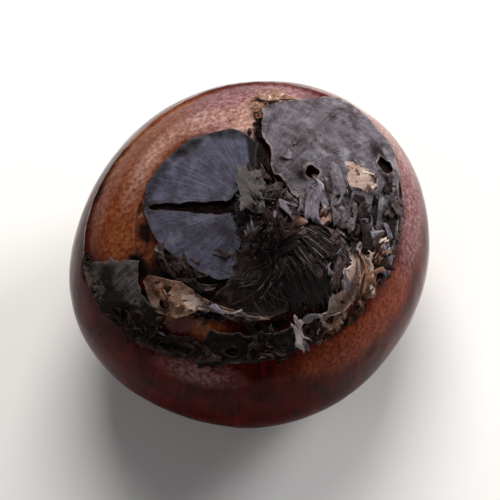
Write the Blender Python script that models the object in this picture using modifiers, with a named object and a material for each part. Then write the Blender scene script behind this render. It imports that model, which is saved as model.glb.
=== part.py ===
"""A fresh water chestnut, about 38 mm across, as it comes out of the mud and the wash.

The corm is one squat, slightly lopsided body. It has three node rings, a flat spot to
rest on, and the dimple where its runner broke off. Torn pieces of two scale leaves lie
over its shoulder, each growing from one of the two upper rings. A shaggy tuft of dried
shoots and bristles covers the top bud and the side bud next to it, and a crescent scale
leans on the side bud from outside.

Units are metres and +Z is up. The origin is on the surface that the corm rests on, below
its middle. Two angles place everything on the corm: the azimuth runs from +X towards +Y,
and the polar angle runs from the crown, at 0, over the widest level, at 90, to the base.
"""

import math

import bmesh
import bpy
import numpy as np
from mathutils import Vector

# The corm's driving dimensions
ACROSS = 0.0380
BODY_HEIGHT = 0.0280
WIDEST_LEVEL = 0.0134
FLAT_CUT = 0.0009
FULLNESS = 0.92
BLUNTNESS = 0.94

# How far its outline leaves a circle: waves round it, as (count, share of radius, azimuth),
# and low lumps, as (count round, count from crown to base, height, azimuth)
OUTLINE_WAVES = ((2, 0.044, 41.6), (3, 0.006, -54.6), (4, 0.009, 26.8))
LUMPS = ((3, 2, 0.00022, 70.0), (5, 3, 0.00014, 200.0))
SHOULDER_TILT = 0.0005
SHOULDER_TILT_AZIMUTH = 205.0

# The node rings: where a scale leaf grew round the corm. Each runs aslant, as waves round it,
# given as (count, degrees, azimuth)
UPPER_RING, LOWER_RING, BELLY_RING = 31.0, 56.0, 134.0
RINGS = (UPPER_RING, LOWER_RING, BELLY_RING)
RING_WAVES = {
    UPPER_RING: ((1, 6.2, 225.0), (3, 0.5, 40.0)),
    LOWER_RING: ((1, 6.0, 140.0), (2, 2.0, 20.0)),
    BELLY_RING: ((1, 0.7, 300.0), (3, 0.5, 100.0)),
}
RING_RIDGE = 0.00022
RING_HALF_WIDTH = 1.5

# The dimple that the runner left in the base, and the stub in its middle
SCAR_RADIUS = 0.0032
SCAR_DEPTH = 0.0009
STUB_RADIUS = 0.0012
STUB_HEIGHT = 0.0005

# Scale leaves and bristles, thicker than the papery real ones so that they are solids
LEAF_GAP = 0.0003
LEAF_SLACK = 0.00007
LEAF_THICKNESS = 0.0006
BLADE_THICKNESS = 0.0007

# The crown: the shaggy tuft over the top bud, and the bristly side bud next to it
TOP_BUD, TOP_RADIUS, TOP_HEIGHT = (0.0018, -0.0016), 0.0034, 0.0024
SIDE_BUD, SIDE_RADIUS, SIDE_HEIGHT = (0.0068, -0.0064), 0.0043, 0.0027
BUD_CLEARANCE = 0.0004
BUD_SCALE_SPAN = (-78.0, 58.0)
BUD_SCALE_HEIGHT = 0.0016
BUD_SCALE_LEAN = 0.0008

AROUND = 64
ROW_STEP = 6.5
SEED = 29


def clear_scene():
    """Removes whatever the scene holds, and returns the collections for the parts and the cutters."""
    for thing in list(bpy.data.objects):
        bpy.data.objects.remove(thing)
    parts = bpy.data.collections.new("water_chestnut")
    cutters = bpy.data.collections.new("cutters")
    for collection in (parts, cutters):
        bpy.context.scene.collection.children.link(collection)
    cutters.hide_render = True
    return parts, cutters


def make_material(name, colour, roughness):
    """A plain Principled material of one colour, given as red, green and blue."""
    material = bpy.data.materials.new(name)
    material.use_nodes = True
    shader = material.node_tree.nodes["Principled BSDF"]
    shader.inputs["Base Color"].default_value = (*colour, 1.0)
    shader.inputs["Roughness"].default_value = roughness
    shader.inputs["Metallic"].default_value = 0.0
    return material


def bell(offset, half_width):
    """A smooth bump of height 1, which has fallen to a third of it at half_width."""
    return np.exp(-((offset / half_width) ** 2))


def outline_share(azimuth):
    """The corm's radius at an azimuth in degrees, as a share of its mean radius."""
    share = np.ones_like(azimuth)
    for count, size, crest in OUTLINE_WAVES:
        share = share + size * np.cos(count * np.radians(azimuth - crest))
    return share


def outline_middle():
    """The middle of the outline's box, which is moved onto the origin."""
    azimuth = np.arange(0.0, 360.0, 1.0)
    reach = 0.5 * ACROSS * outline_share(azimuth)
    x = reach * np.cos(np.radians(azimuth))
    y = reach * np.sin(np.radians(azimuth))
    return 0.5 * (x.min() + x.max()), 0.5 * (y.min() + y.max())


def ring_angle(ring, azimuth):
    """The polar angle of a node ring, which runs a little aslant."""
    return ring + sum(
        size * np.cos(count * np.radians(azimuth - crest)) for count, size, crest in RING_WAVES[ring]
    )


def follow_rings(azimuth, polar):
    """Moves polar angles so that those of the rings come to lie on the slanting rings, and others between."""
    stops = (0.0, *RINGS, 180.0)
    moved = polar
    for i, ring in enumerate(RINGS, start=1):
        share = np.interp(polar, stops, [float(i == j) for j in range(len(stops))])
        moved = moved + share * (ring_angle(ring, azimuth) - ring)
    return moved


def skin(azimuth, polar, lift=0.0):
    """Points of the corm's skin at two angles in degrees, raised from it by lift.

    The side profile is a rounded box: the distance from the axis is the mean radius times
    the sine to the power FULLNESS, and the height follows the cosine to the power
    BLUNTNESS. Each node ring is a low ridge. The base is cut flat at height zero.
    """
    azimuth, polar = np.broadcast_arrays(np.asarray(azimuth, float), np.asarray(polar, float))
    turn, fall = np.radians(azimuth), np.radians(polar)
    rise = BODY_HEIGHT - WIDEST_LEVEL
    drop = WIDEST_LEVEL + FLAT_CUT
    ridge = sum(RING_RIDGE * bell(polar - ring_angle(ring, azimuth), RING_HALF_WIDTH) for ring in RINGS)
    grown = ridge + lift
    for round_count, down_count, size, crest in LUMPS:
        wave = np.cos(round_count * np.radians(azimuth - crest)) * np.sin(down_count * fall) ** 2
        grown = grown + size * wave * np.sin(fall) ** 2
    away = 0.5 * ACROSS * outline_share(azimuth) * np.abs(np.sin(fall)) ** FULLNESS
    level = np.abs(np.cos(fall)) ** BLUNTNESS
    high = np.where(polar < 90.0, rise * level, -drop * level)
    high = high + SHOULDER_TILT * np.cos(turn - math.radians(SHOULDER_TILT_AZIMUTH)) * np.sin(fall) ** 2
    away = away + grown * np.sin(fall)
    high = high + grown * np.cos(fall)
    middle = outline_middle()
    x = away * np.cos(turn) - middle[0]
    y = away * np.sin(turn) - middle[1]
    z = WIDEST_LEVEL + high
    return np.stack([x, y, z], axis=-1)


def skin_below(x, y):
    """The height of the smooth skin under a place on the upper half."""
    middle = outline_middle()
    azimuth = np.degrees(np.arctan2(y + middle[1], x + middle[0]))
    away = np.hypot(x + middle[0], y + middle[1])
    share = np.clip(away / (0.5 * ACROSS * outline_share(azimuth)), 0.0, 1.0)
    polar = np.degrees(np.arcsin(share ** (1.0 / FULLNESS)))
    return skin(azimuth, polar)[..., 2]


def polar_at(away):
    """The polar angle on the upper half at a share of the outline's radius."""
    return np.degrees(np.arcsin(np.clip(away, 0.0, 1.0) ** (1.0 / FULLNESS)))


def bud_limit(azimuth):
    """The polar angle at which a leaf that comes from outside must end, to stay clear of the two buds."""
    middle = outline_middle()
    shares = np.linspace(0.0, 1.0, 401)
    reach = 0.5 * ACROSS * outline_share(azimuth)[:, None] * shares
    x = reach * np.cos(np.radians(azimuth))[:, None] - middle[0]
    y = reach * np.sin(np.radians(azimuth))[:, None] - middle[1]
    taken = np.zeros_like(x)
    for bud, radius in ((TOP_BUD, TOP_RADIUS), (SIDE_BUD, SIDE_RADIUS)):
        near = np.hypot(x - bud[0], y - bud[1]) < radius + BUD_CLEARANCE
        taken = np.maximum(taken, np.where(near, shares, 0.0))
    return polar_at(taken.max(axis=1))


def new_object(name, shape, collection, material=None):
    """Puts a finished bmesh into a named object."""
    mesh = bpy.data.meshes.new(name)
    bmesh.ops.recalc_face_normals(shape, faces=shape.faces)
    shape.to_mesh(mesh)
    shape.free()
    if material:
        mesh.materials.append(material)
    thing = bpy.data.objects.new(name, mesh)
    collection.objects.link(thing)
    return thing


def move_points(shape, points):
    """Moves the vertices of a bmesh to an array of points, in order."""
    for vertex, point in zip(shape.verts, points):
        vertex.co = point


def polar_rows():
    """The polar angles of the corm's rows of vertices: even steps, with closer ones over each ring."""
    rows = list(np.arange(ROW_STEP, 180.0 - 0.5 * ROW_STEP, ROW_STEP))
    for ring in RINGS:
        rows = [row for row in rows if abs(row - ring) > 2.4 * RING_HALF_WIDTH]
        rows += [ring + side * RING_HALF_WIDTH for side in (-2.2, -0.9, 0.0, 0.9, 2.2)]
    return np.array([0.0, *sorted(rows), 180.0])


def sphere_points(shape, rows):
    """The azimuth and polar angle of every vertex of a sphere primitive, once its rows are spaced as given."""
    unit = np.array([vertex.co for vertex in shape.verts])
    row = np.rint(np.arccos(np.clip(unit[:, 2], -1, 1)) / math.pi * (len(rows) - 1)).astype(int)
    azimuth = np.degrees(np.arctan2(unit[:, 1], unit[:, 0]))
    return azimuth, rows[row]


def flatten_base(points):
    """Cuts the body flat where it rests, and sinks the runner's scar into the flat, with its stub."""
    points[:, 2] = np.maximum(points[:, 2], 0.0)
    away = np.hypot(points[:, 0], points[:, 1])
    low = points[:, 2] < 0.5 * WIDEST_LEVEL
    dimple = SCAR_DEPTH * np.clip((SCAR_RADIUS - away) / (0.4 * SCAR_RADIUS), 0.0, 1.0)
    stub = STUB_HEIGHT * np.clip((STUB_RADIUS - away) / (0.3 * STUB_RADIUS), 0.0, 1.0)
    points[:, 2] += np.where(low, dimple - stub, 0.0)
    return points


def make_corm(parts, material):
    """The swollen stem: a sphere primitive whose vertices are moved to the skin."""
    rows = polar_rows()
    shape = bmesh.new()
    bmesh.ops.create_uvsphere(shape, u_segments=AROUND, v_segments=len(rows) - 1, radius=1.0)
    azimuth, polar = sphere_points(shape, rows)
    move_points(shape, flatten_base(skin(azimuth, follow_rings(azimuth, polar))))
    corm = new_object("corm", shape, parts, material)
    corm.data.shade_smooth()
    return corm


def make_skin_cutter(cutters, lift):
    """The upper body grown by lift, to keep what lies on the corm clear of it."""
    shape = bmesh.new()
    bmesh.ops.create_uvsphere(shape, u_segments=AROUND, v_segments=24, radius=1.0)
    azimuth, polar = sphere_points(shape, np.linspace(0.0, 180.0, 25))
    move_points(shape, skin(azimuth, polar, lift))
    cutter = new_object("grown_skin", shape, cutters)
    cutter.hide_render = True
    cutter.display_type = "WIRE"
    return cutter


def torn_edge(across, teeth, seed):
    """How far a torn edge falls short of its full reach, from 0 to 1, as across runs from 0 to 1.

    It is a broken line through unevenly spaced places, whose heights come from a seeded row.
    """
    draw = np.random.default_rng(seed)
    places = (np.arange(2 * teeth + 1) + draw.uniform(-0.4, 0.4, 2 * teeth + 1)) / (2 * teeth)
    heights = draw.uniform(0.0, 1.0, 2 * teeth + 1) ** 1.5
    return np.interp(across, places, heights)


def make_leaf(
    name, parts, material, ring, azimuths, reach, teeth, seed,
    tear=3.0, columns=24, rows=7, curl=0.0002, narrow=(0.1, 0.1), begin=None,
):
    """A torn piece of scale leaf: a grid laid over the skin from its ring towards the crown.

    ring is the node ring that it grows from, azimuths its two sides, and reach a function
    that gives the polar angle at which its inner edge ends, for each share of the way across.
    tear is how many degrees its torn edge wanders, narrow how much each of its two sides
    closes in, and begin a function that gives how many degrees off the ring its outer edge is.
    """
    shape = bmesh.new()
    bmesh.ops.create_grid(shape, x_segments=columns, y_segments=rows, size=1.0)
    unit = np.array([vertex.co for vertex in shape.verts])
    across, along = 0.5 * (unit[:, 0] + 1.0), 0.5 * (unit[:, 1] + 1.0)
    start, end = azimuths
    side = 2.0 * across - 1.0
    narrowing = 1.0 - np.where(side < 0.0, *narrow) * along**2
    azimuth = 0.5 * (start + end) + 0.5 * (end - start) * side * narrowing
    base = ring_angle(ring, azimuth) - 0.4 * tear * torn_edge(across, teeth, seed + 50)
    base = base + (begin(across) if begin else -RING_HALF_WIDTH)
    tip = np.maximum(reach(across), bud_limit(azimuth))
    whole = np.clip(np.abs(base - tip) / (2.5 * abs(tear)), 0.0, 1.0)
    tip = tip + tear * whole * torn_edge(across, teeth, seed)
    polar = base + (tip - base) * along
    lift = LEAF_GAP + LEAF_SLACK + curl * (along**3 + 0.5 * np.abs(side) ** 6)
    move_points(shape, skin(azimuth, polar, lift))
    bmesh.ops.triangulate(shape, faces=shape.faces)
    leaf = new_object(name, shape, parts, material)
    upward = sum(face.normal.z * face.area for face in leaf.data.polygons)
    if upward < 0.0:
        leaf.data.flip_normals()
    leaf.data.shade_smooth()
    wall = leaf.modifiers.new("wall", "SOLIDIFY")
    wall.thickness = LEAF_THICKNESS
    wall.offset = 1.0
    return leaf


def slit_leaf(leaf, cutters, azimuth, inner, outer, half_angle):
    """Tears a leaf along one of its fibres with a wedge that is wide at the crown and ends near the ring."""
    shape = bmesh.new()
    bmesh.ops.create_cone(
        shape, cap_ends=True, segments=3, radius1=1.0, radius2=1.0, depth=2.0 * BODY_HEIGHT
    )
    top = BODY_HEIGHT
    corners = ((azimuth, outer), (azimuth + half_angle, inner), (azimuth - half_angle, inner))
    places = [skin(a, p)[:2] for a, p in corners]
    ring_order = sorted({round(math.atan2(v.co.y, v.co.x), 3) for v in shape.verts})
    for vertex in shape.verts:
        corner = ring_order.index(round(math.atan2(vertex.co.y, vertex.co.x), 3))
        x, y = places[corner]
        vertex.co = (x, y, top + math.copysign(0.5 * BODY_HEIGHT, vertex.co.z))
    wedge = new_object(f"{leaf.name}_slit", shape, cutters)
    wedge.hide_render = True
    wedge.display_type = "WIRE"
    cut = leaf.modifiers.new("slit", "BOOLEAN")
    cut.operation = "DIFFERENCE"
    cut.object = wedge


def make_bud_scale(name, parts, material, columns=20, rows=3):
    """The crescent scale that leans on the outer side of the side bud, widest in its middle."""
    shape = bmesh.new()
    bmesh.ops.create_grid(shape, x_segments=columns, y_segments=rows, size=1.0)
    unit = np.array([vertex.co for vertex in shape.verts])
    across, along = 0.5 * (unit[:, 0] + 1.0), 0.5 * (unit[:, 1] + 1.0)
    first, last = BUD_SCALE_SPAN
    heading = np.radians(first + (last - first) * across)
    full = np.sin(np.pi * (0.08 + 0.84 * across)) ** 0.8
    torn = 1.0 - 0.14 * torn_edge(across, 5, SEED + 8)
    away = SIDE_RADIUS + BUD_CLEARANCE + 0.0003 + BUD_SCALE_LEAN * full * (1.0 - along)
    x = SIDE_BUD[0] + away * np.cos(heading)
    y = SIDE_BUD[1] + away * np.sin(heading)
    over = LEAF_GAP + 0.0003 + BUD_SCALE_HEIGHT * full * torn * along
    move_points(shape, np.stack([x, y, skin_below(x, y) + over], axis=-1))
    bmesh.ops.triangulate(shape, faces=shape.faces)
    scale = new_object(name, shape, parts, material)
    middle = Vector((*SIDE_BUD, BODY_HEIGHT))
    outward = sum(face.normal.dot(face.center - middle) * face.area for face in scale.data.polygons)
    if outward < 0.0:
        scale.data.flip_normals()
    scale.data.shade_smooth()
    wall = scale.modifiers.new("wall", "SOLIDIFY")
    wall.thickness = LEAF_THICKNESS
    wall.offset = 1.0
    return scale


def make_dome(name, collection, centre, radius, height, sides=18, rings=8):
    """A low rounded clump over a bud, sunk into the corm; the grown skin trims it later."""
    shape = bmesh.new()
    bmesh.ops.create_uvsphere(shape, u_segments=sides, v_segments=rings, radius=1.0)
    unit = np.array([vertex.co for vertex in shape.verts])
    x, y = centre[0] + radius * unit[:, 0], centre[1] + radius * unit[:, 1]
    move_points(shape, np.stack([x, y, skin_below(x, y) + height * unit[:, 2]], axis=-1))
    return new_object(name, shape, collection)


def make_blade(name, collection, root, heading, length, heights, width, bend=0.0, twist=0.0):
    """A pointed bristle or dried shoot: a four-sided cone, flattened and laid along a path.

    The path leaves root at an azimuth, runs for length over the skin and turns by bend on the
    way. heights are how far its start, middle and tip stand above the skin.
    """
    shape = bmesh.new()
    bmesh.ops.create_cone(
        shape, cap_ends=True, segments=4, radius1=1.0, radius2=0.3, depth=1.0
    )
    long_edges = [e for e in shape.edges if abs(e.verts[0].co.z - e.verts[1].co.z) > 0.5]
    bmesh.ops.subdivide_edges(shape, edges=long_edges, cuts=3)
    unit = np.array([vertex.co for vertex in shape.verts])
    along = unit[:, 2] + 0.5
    turn = np.radians(heading + bend * along)
    start, middle, tip = heights
    over = start * (1 - along) ** 2 + 2 * middle * along * (1 - along) + tip * along**2
    x = root[0] + length * along * np.cos(turn)
    y = root[1] + length * along * np.sin(turn)
    z = skin_below(x, y) + over
    across = 0.5 * width * unit[:, 0]
    roll = math.radians(twist)
    points = np.stack(
        [
            x - across * np.sin(turn) * math.cos(roll),
            y + across * np.cos(turn) * math.cos(roll),
            z + across * math.sin(roll) + 0.5 * BLADE_THICKNESS * unit[:, 1],
        ],
        axis=-1,
    )
    move_points(shape, points)
    return new_object(name, shape, collection)


def spread_of_blades(loose):
    """The shreds that lie outwards from the top bud, and the broken shoots that stand on it."""
    draw = np.random.default_rng(SEED)
    golden = 137.5
    for i in range(26):
        heading = golden * i + draw.uniform(-12, 12)
        out = 0.0010 + 0.0012 * draw.random()
        root = (
            TOP_BUD[0] + out * math.cos(math.radians(heading)),
            TOP_BUD[1] + out * math.sin(math.radians(heading)),
        )
        make_blade(
            f"shred_{i}", loose, root, heading, draw.uniform(0.0022, 0.0036),
            (0.0015, draw.uniform(0.0027, 0.0034), draw.uniform(0.0023, 0.0029)),
            draw.uniform(0.0012, 0.0021), bend=draw.uniform(-35, 35), twist=draw.uniform(-20, 20),
        )
    for i, (heading, height) in enumerate(((120.0, 0.0046), (250.0, 0.0040), (15.0, 0.0036))):
        make_blade(
            f"shoot_{i}", loose, TOP_BUD, heading, 0.0020,
            (0.0010 + 0.0001 * i, 0.6 * height, height), 0.0019, bend=15.0,
        )


def spread_of_bristles(loose):
    """The bristles that arch side by side over the side bud and bow outwards, like combed hair."""
    draw = np.random.default_rng(SEED + 7)
    sweep = -70.0
    along = np.array([math.cos(math.radians(sweep)), math.sin(math.radians(sweep))])
    beside = np.array([-along[1], along[0]])
    for i, lane in enumerate(np.linspace(-0.88, 0.80, 13)):
        half = SIDE_RADIUS * math.sqrt(1.0 - lane**2)
        root = np.array(SIDE_BUD) + (SIDE_RADIUS * lane * beside - half * along) * 0.94
        arch = SIDE_HEIGHT * math.sqrt(1.0 - lane**2)
        bow = 14.0 + 26.0 * lane
        make_blade(
            f"bristle_{i}", loose, tuple(root), sweep + bow, 1.9 * half,
            (0.0008, 2.0 * arch + draw.uniform(0.0001, 0.0008), draw.uniform(0.0008, 0.0014)),
            draw.uniform(0.0008, 0.0012), bend=-bow + draw.uniform(-7, 7), twist=draw.uniform(-30, 30),
        )


def join_all(target, loose):
    """Joins every loose piece to the target in one union, and then removes the pieces."""
    join = target.modifiers.new("join", "BOOLEAN")
    join.operation = "UNION"
    join.operand_type = "COLLECTION"
    join.collection = loose
    join.use_self = True
    apply_modifiers(target)
    for piece in list(loose.objects):
        bpy.data.objects.remove(piece)
    bpy.data.collections.remove(loose)


def apply_modifiers(thing):
    """Replaces an object's mesh by what its modifiers make of it."""
    bpy.context.view_layer.update()
    graph = bpy.context.evaluated_depsgraph_get()
    mesh = bpy.data.meshes.new_from_object(thing.evaluated_get(graph))
    thing.modifiers.clear()
    thing.data = mesh


def keep_main_body(thing):
    """Keeps an object's largest shell, so that trimmed tips and pockets inside the body are gone."""
    shape = bmesh.new()
    shape.from_mesh(thing.data)
    waiting = set(shape.faces)
    shells = []
    while waiting:
        front = [waiting.pop()]
        shell = list(front)
        while front:
            face = front.pop()
            for other in {near for edge in face.edges for near in edge.link_faces} & waiting:
                waiting.remove(other)
                front.append(other)
                shell.append(other)
        shells.append(shell)
    shells.sort(key=lambda shell: sum(face.calc_area() for face in shell))
    spare = {corner for shell in shells[:-1] for face in shell for corner in face.verts}
    bmesh.ops.delete(shape, geom=list(spare), context="VERTS")
    shape.to_mesh(thing.data)
    shape.free()


def make_tuft(parts, cutters, material):
    """The crown: two low clumps over the buds with bristles and dried shoots, as one body."""
    loose = bpy.data.collections.new("loose_blades")
    bpy.context.scene.collection.children.link(loose)
    tuft = make_dome("crown_tuft", parts, TOP_BUD, TOP_RADIUS, TOP_HEIGHT)
    make_dome("side_clump", loose, SIDE_BUD, SIDE_RADIUS, SIDE_HEIGHT)
    spread_of_blades(loose)
    spread_of_bristles(loose)
    join_all(tuft, loose)
    trim = tuft.modifiers.new("trim", "BOOLEAN")
    trim.operation = "DIFFERENCE"
    trim.object = make_skin_cutter(cutters, LEAF_GAP + RING_RIDGE)
    trim.solver = "MANIFOLD"
    apply_modifiers(tuft)
    keep_main_body(tuft)
    tuft.data.materials.clear()
    tuft.data.materials.append(material)
    return tuft


def build():
    """Makes every piece of the water chestnut."""
    parts, cutters = clear_scene()
    skin_brown = make_material("chestnut_skin", (0.060, 0.016, 0.011), 0.32)
    slate = make_material("papery_scale", (0.085, 0.078, 0.092), 0.62)
    olive = make_material("weathered_scale", (0.033, 0.027, 0.023), 0.75)
    tan = make_material("torn_edge", (0.130, 0.070, 0.042), 0.70)
    black = make_material("dried_crown", (0.017, 0.012, 0.010), 0.75)
    make_corm(parts, skin_brown)
    left = make_leaf(
        "upper_scale_left", parts, slate, UPPER_RING, (100.0, 232.0),
        lambda across: 7.0 + 3.0 * across, teeth=8, seed=SEED + 1, tear=4.5, columns=32, rows=6,
        narrow=(-0.08, -0.08),
        begin=lambda across: -1.5 - 12.0 * np.clip((across - 0.5) / 0.5, 0.0, 1.0) ** 1.2,
    )
    slit_leaf(left, cutters, 175.0, inner=5.0, outer=29.5, half_angle=16.0)
    make_leaf(
        "upper_scale_front", parts, olive, UPPER_RING, (239.0, 286.0),
        lambda across: 14.0 + 2.0 * across, teeth=5, seed=SEED + 2, columns=14, rows=5,
        begin=lambda across: -1.5 - 5.5 * np.clip(1.0 - across / 0.5, 0.0, 1.0),
    )
    make_leaf(
        "upper_scale_edge", parts, tan, UPPER_RING, (214.0, 277.0),
        lambda across: np.interp(across, (0.0, 0.2, 0.45, 0.7, 1.0), (39.6, 41.6, 40.4, 39.6, 38.9)),
        teeth=5, seed=SEED + 6, tear=-1.0, columns=20, rows=3, narrow=(0.0, 0.0),
        begin=lambda across: np.interp(across, (0.0, 0.2, 0.45, 0.7, 1.0), (-0.6, -4.6, -2.9, 1.0, 2.0)),
    )
    make_leaf(
        "lower_scale_back", parts, slate, LOWER_RING, (-12.0, 92.0),
        lambda across: 48.0 - 38.5 * np.clip((across - 0.03) / 0.16, 0.0, 1.0), teeth=8,
        seed=SEED + 3, tear=4.5, columns=34, rows=10, narrow=(0.0, 0.25),
        begin=lambda across: -1.5 - 22.0 * np.clip((across - 0.72) / 0.28, 0.0, 1.0),
    )
    make_leaf(
        "lower_scale_left", parts, olive, LOWER_RING, (193.0, 230.0),
        lambda across: 36.5 + 6.5 * np.clip((across - 0.30) / 0.35, 0.0, 1.0), teeth=4,
        seed=SEED + 4, tear=2.5, columns=11, rows=6,
    )
    make_leaf(
        "lower_scale_front", parts, olive, LOWER_RING, (253.0, 291.0),
        lambda across: 41.0 + 1.0 * across, teeth=4, seed=SEED + 5, columns=12, rows=4,
    )
    make_bud_scale("side_bud_scale", parts, tan)
    make_tuft(parts, cutters, black)


build()
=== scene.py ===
# %% [markdown]
# # A fresh water chestnut
# This notebook dresses the plain solids of a water chestnut, so that it looks freshly dug and
# washed. It loads those solids as a frame. All that is made later sits in that frame, in
# metres, with +Z up and the crown on top.

# %% Load the solids
import math

import bmesh
import bpy
import numpy as np
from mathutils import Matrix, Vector


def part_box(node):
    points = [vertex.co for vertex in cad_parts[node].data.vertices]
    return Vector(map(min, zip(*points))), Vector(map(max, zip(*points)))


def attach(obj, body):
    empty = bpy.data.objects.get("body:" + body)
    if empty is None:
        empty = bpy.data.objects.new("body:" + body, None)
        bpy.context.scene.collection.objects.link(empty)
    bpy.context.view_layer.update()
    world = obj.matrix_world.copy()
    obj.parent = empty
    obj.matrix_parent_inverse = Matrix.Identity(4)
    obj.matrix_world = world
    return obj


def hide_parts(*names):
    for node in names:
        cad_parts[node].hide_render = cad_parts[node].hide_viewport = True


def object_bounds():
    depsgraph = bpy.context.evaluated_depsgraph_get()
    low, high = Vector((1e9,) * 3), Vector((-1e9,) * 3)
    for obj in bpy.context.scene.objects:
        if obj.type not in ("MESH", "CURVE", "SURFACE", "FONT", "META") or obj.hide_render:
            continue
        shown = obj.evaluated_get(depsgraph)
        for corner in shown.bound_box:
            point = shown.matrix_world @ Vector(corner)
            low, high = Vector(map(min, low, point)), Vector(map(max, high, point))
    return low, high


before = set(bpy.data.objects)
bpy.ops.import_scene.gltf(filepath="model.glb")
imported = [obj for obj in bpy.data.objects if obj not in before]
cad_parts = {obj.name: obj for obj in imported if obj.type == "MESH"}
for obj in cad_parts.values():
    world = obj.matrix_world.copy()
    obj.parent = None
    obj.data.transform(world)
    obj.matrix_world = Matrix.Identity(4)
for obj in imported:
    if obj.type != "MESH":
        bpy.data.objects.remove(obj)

solid_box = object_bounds()
MM = 0.001


def in_mm(box):
    """The corners of a box in millimetres, for printing."""
    return [[round(v / MM, 2) for v in corner] for corner in box]


print("solids:", sorted(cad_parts), "in a box in mm of", in_mm(solid_box))

# %% [markdown]
# ## The form of the corm
# The corm is a swollen stem, squat and slightly lopsided. Two angles place everything on it.
# The azimuth runs round it from +X towards +Y. The polar angle runs from the crown, at 0, over
# the widest level, at 90, to the base. The solids were made with these sizes, so a finer skin
# that is worked out from them lies on the solid.

# %% Sizes of the corm
ACROSS, BODY_HEIGHT, WIDEST_LEVEL, FLAT_CUT = 38.0 * MM, 28.0 * MM, 13.4 * MM, 0.9 * MM
HALF_ACROSS_MM = 19.0
FULLNESS, BLUNTNESS = 0.92, 0.94
OUTLINE_WAVES = ((2, 0.044, 41.6), (3, 0.006, -54.6), (4, 0.009, 26.8))
LUMPS = ((3, 2, 0.22 * MM, 70.0), (5, 3, 0.14 * MM, 200.0))
SHOULDER_TILT, SHOULDER_TILT_AZIMUTH = 0.5 * MM, 205.0
UPPER_RING, LOWER_RING, BELLY_RING = 31.0, 56.0, 134.0
RINGS = (UPPER_RING, LOWER_RING, BELLY_RING)
RING_WAVES = {
    UPPER_RING: ((1, 6.2, 225.0), (3, 0.5, 40.0)),
    LOWER_RING: ((1, 6.0, 140.0), (2, 2.0, 20.0)),
    BELLY_RING: ((1, 0.7, 300.0), (3, 0.5, 100.0)),
}
RING_RIDGE, RING_HALF_WIDTH = 0.22 * MM, 1.5
SCAR_RADIUS, SCAR_DEPTH, STUB_RADIUS, STUB_HEIGHT = 3.2 * MM, 0.9 * MM, 1.2 * MM, 0.5 * MM
TOP_BUD, TOP_RADIUS, TOP_HEIGHT = (1.8 * MM, -1.6 * MM), 3.4 * MM, 2.4 * MM
SIDE_BUD, SIDE_RADIUS, SIDE_HEIGHT = (6.8 * MM, -6.4 * MM), 4.3 * MM, 2.7 * MM
DEGREE_LENGTH = 0.31 * MM
print("rings at", RINGS, "degrees from the crown")

# %% [markdown]
# Nothing that grew is even, so most shapes and marks take some noise. Random values sit on the
# corners of a cubic lattice and are blended in between. The same noise at half the size and
# strength, added a few times, gives a leaf's mix of big and small unevenness. The values come
# from one seeded table, so each run is alike.

# %% Noise
NOISE_TABLE = np.random.default_rng(29).uniform(-1.0, 1.0, 4096)
HASH_X, HASH_Y, HASH_Z = 73856093, 19349663, 83492791


def lattice_noise(places, cell, salt):
    """Noise from -1 to 1: corner values of cubes with side cell, blended by a smooth step."""
    scaled = np.asarray(places) / cell
    low = np.floor(scaled).astype(np.int64)
    part = scaled - low
    part = part * part * (3.0 - 2.0 * part)
    total = np.zeros(scaled.shape[:-1])
    for corner in np.ndindex(2, 2, 2):
        at = low + corner
        key = at[..., 0] * HASH_X ^ at[..., 1] * HASH_Y ^ at[..., 2] * HASH_Z
        weight = np.prod(np.where(corner, part, 1.0 - part), axis=-1)
        total += weight * NOISE_TABLE[(key ^ (salt * 7919 + 17)) % len(NOISE_TABLE)]
    return total


def noise(places, cell, octaves=3, salt=0):
    """Lattice noise added up: each octave has half the cell and half the strength."""
    layers = [0.5**i * lattice_noise(places, cell / 2**i, salt + 31 * i) for i in range(octaves)]
    return sum(layers) / (2.0 - 0.5 ** (octaves - 1))


def rough(places, size, cell, octaves, salt):
    """Noise in metres, from its size and cell in millimetres."""
    return size * MM * noise(places, cell * MM, octaves, salt)


def bell(offset, half_width):
    """A smooth bump of height 1, which has fallen to a third of it at half_width."""
    return np.exp(-((offset / half_width) ** 2))


print("noise of one place:", round(float(noise(np.array([1.0, 2.0, 3.0]), 1.7)), 4))

# %% [markdown]
# The skin is a surface of the two angles. Its distance from the axis follows the sine of the
# polar angle and its height the cosine, both to a power just under one, which makes the flat
# shoulders of a corm. Waves and a few low lumps take it off the circle. Each node ring, where
# a leaf sheath was attached, is a low ridge.

# %% The skin as a function of two angles
def waves(azimuth, rows):
    """Cosine waves round the corm, from rows of (count, size, crest)."""
    return sum(size * np.cos(n * np.radians(azimuth - crest)) for n, size, crest in rows)


def reach_at(azimuth):
    """Distance of the widest level from the axis: half of ACROSS x (1 + waves)."""
    return 0.5 * ACROSS * (1.0 + waves(azimuth, OUTLINE_WAVES))


def outline_middle():
    """The middle of the outline's box, which lies on the origin."""
    azimuth = np.arange(0.0, 360.0, 1.0)
    reach = reach_at(azimuth)
    x, y = reach * np.cos(np.radians(azimuth)), reach * np.sin(np.radians(azimuth))
    return 0.5 * (x.min() + x.max()), 0.5 * (y.min() + y.max())


MIDDLE = outline_middle()


def ring_angle(ring, azimuth):
    """The polar angle of a node ring, which runs a little aslant: a constant plus waves."""
    return ring + waves(azimuth, RING_WAVES[ring])


def follow_rings(azimuth, polar):
    """Moves polar angles so that level rings lie on the slanting ones, and the rest between."""
    stops = (0.0, *RINGS, 180.0)
    shares = [np.interp(polar, stops, [float(i == j) for j in range(5)]) for i in (1, 2, 3)]
    return polar + sum(part * (ring_angle(r, azimuth) - r) for part, r in zip(shares, RINGS))


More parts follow.
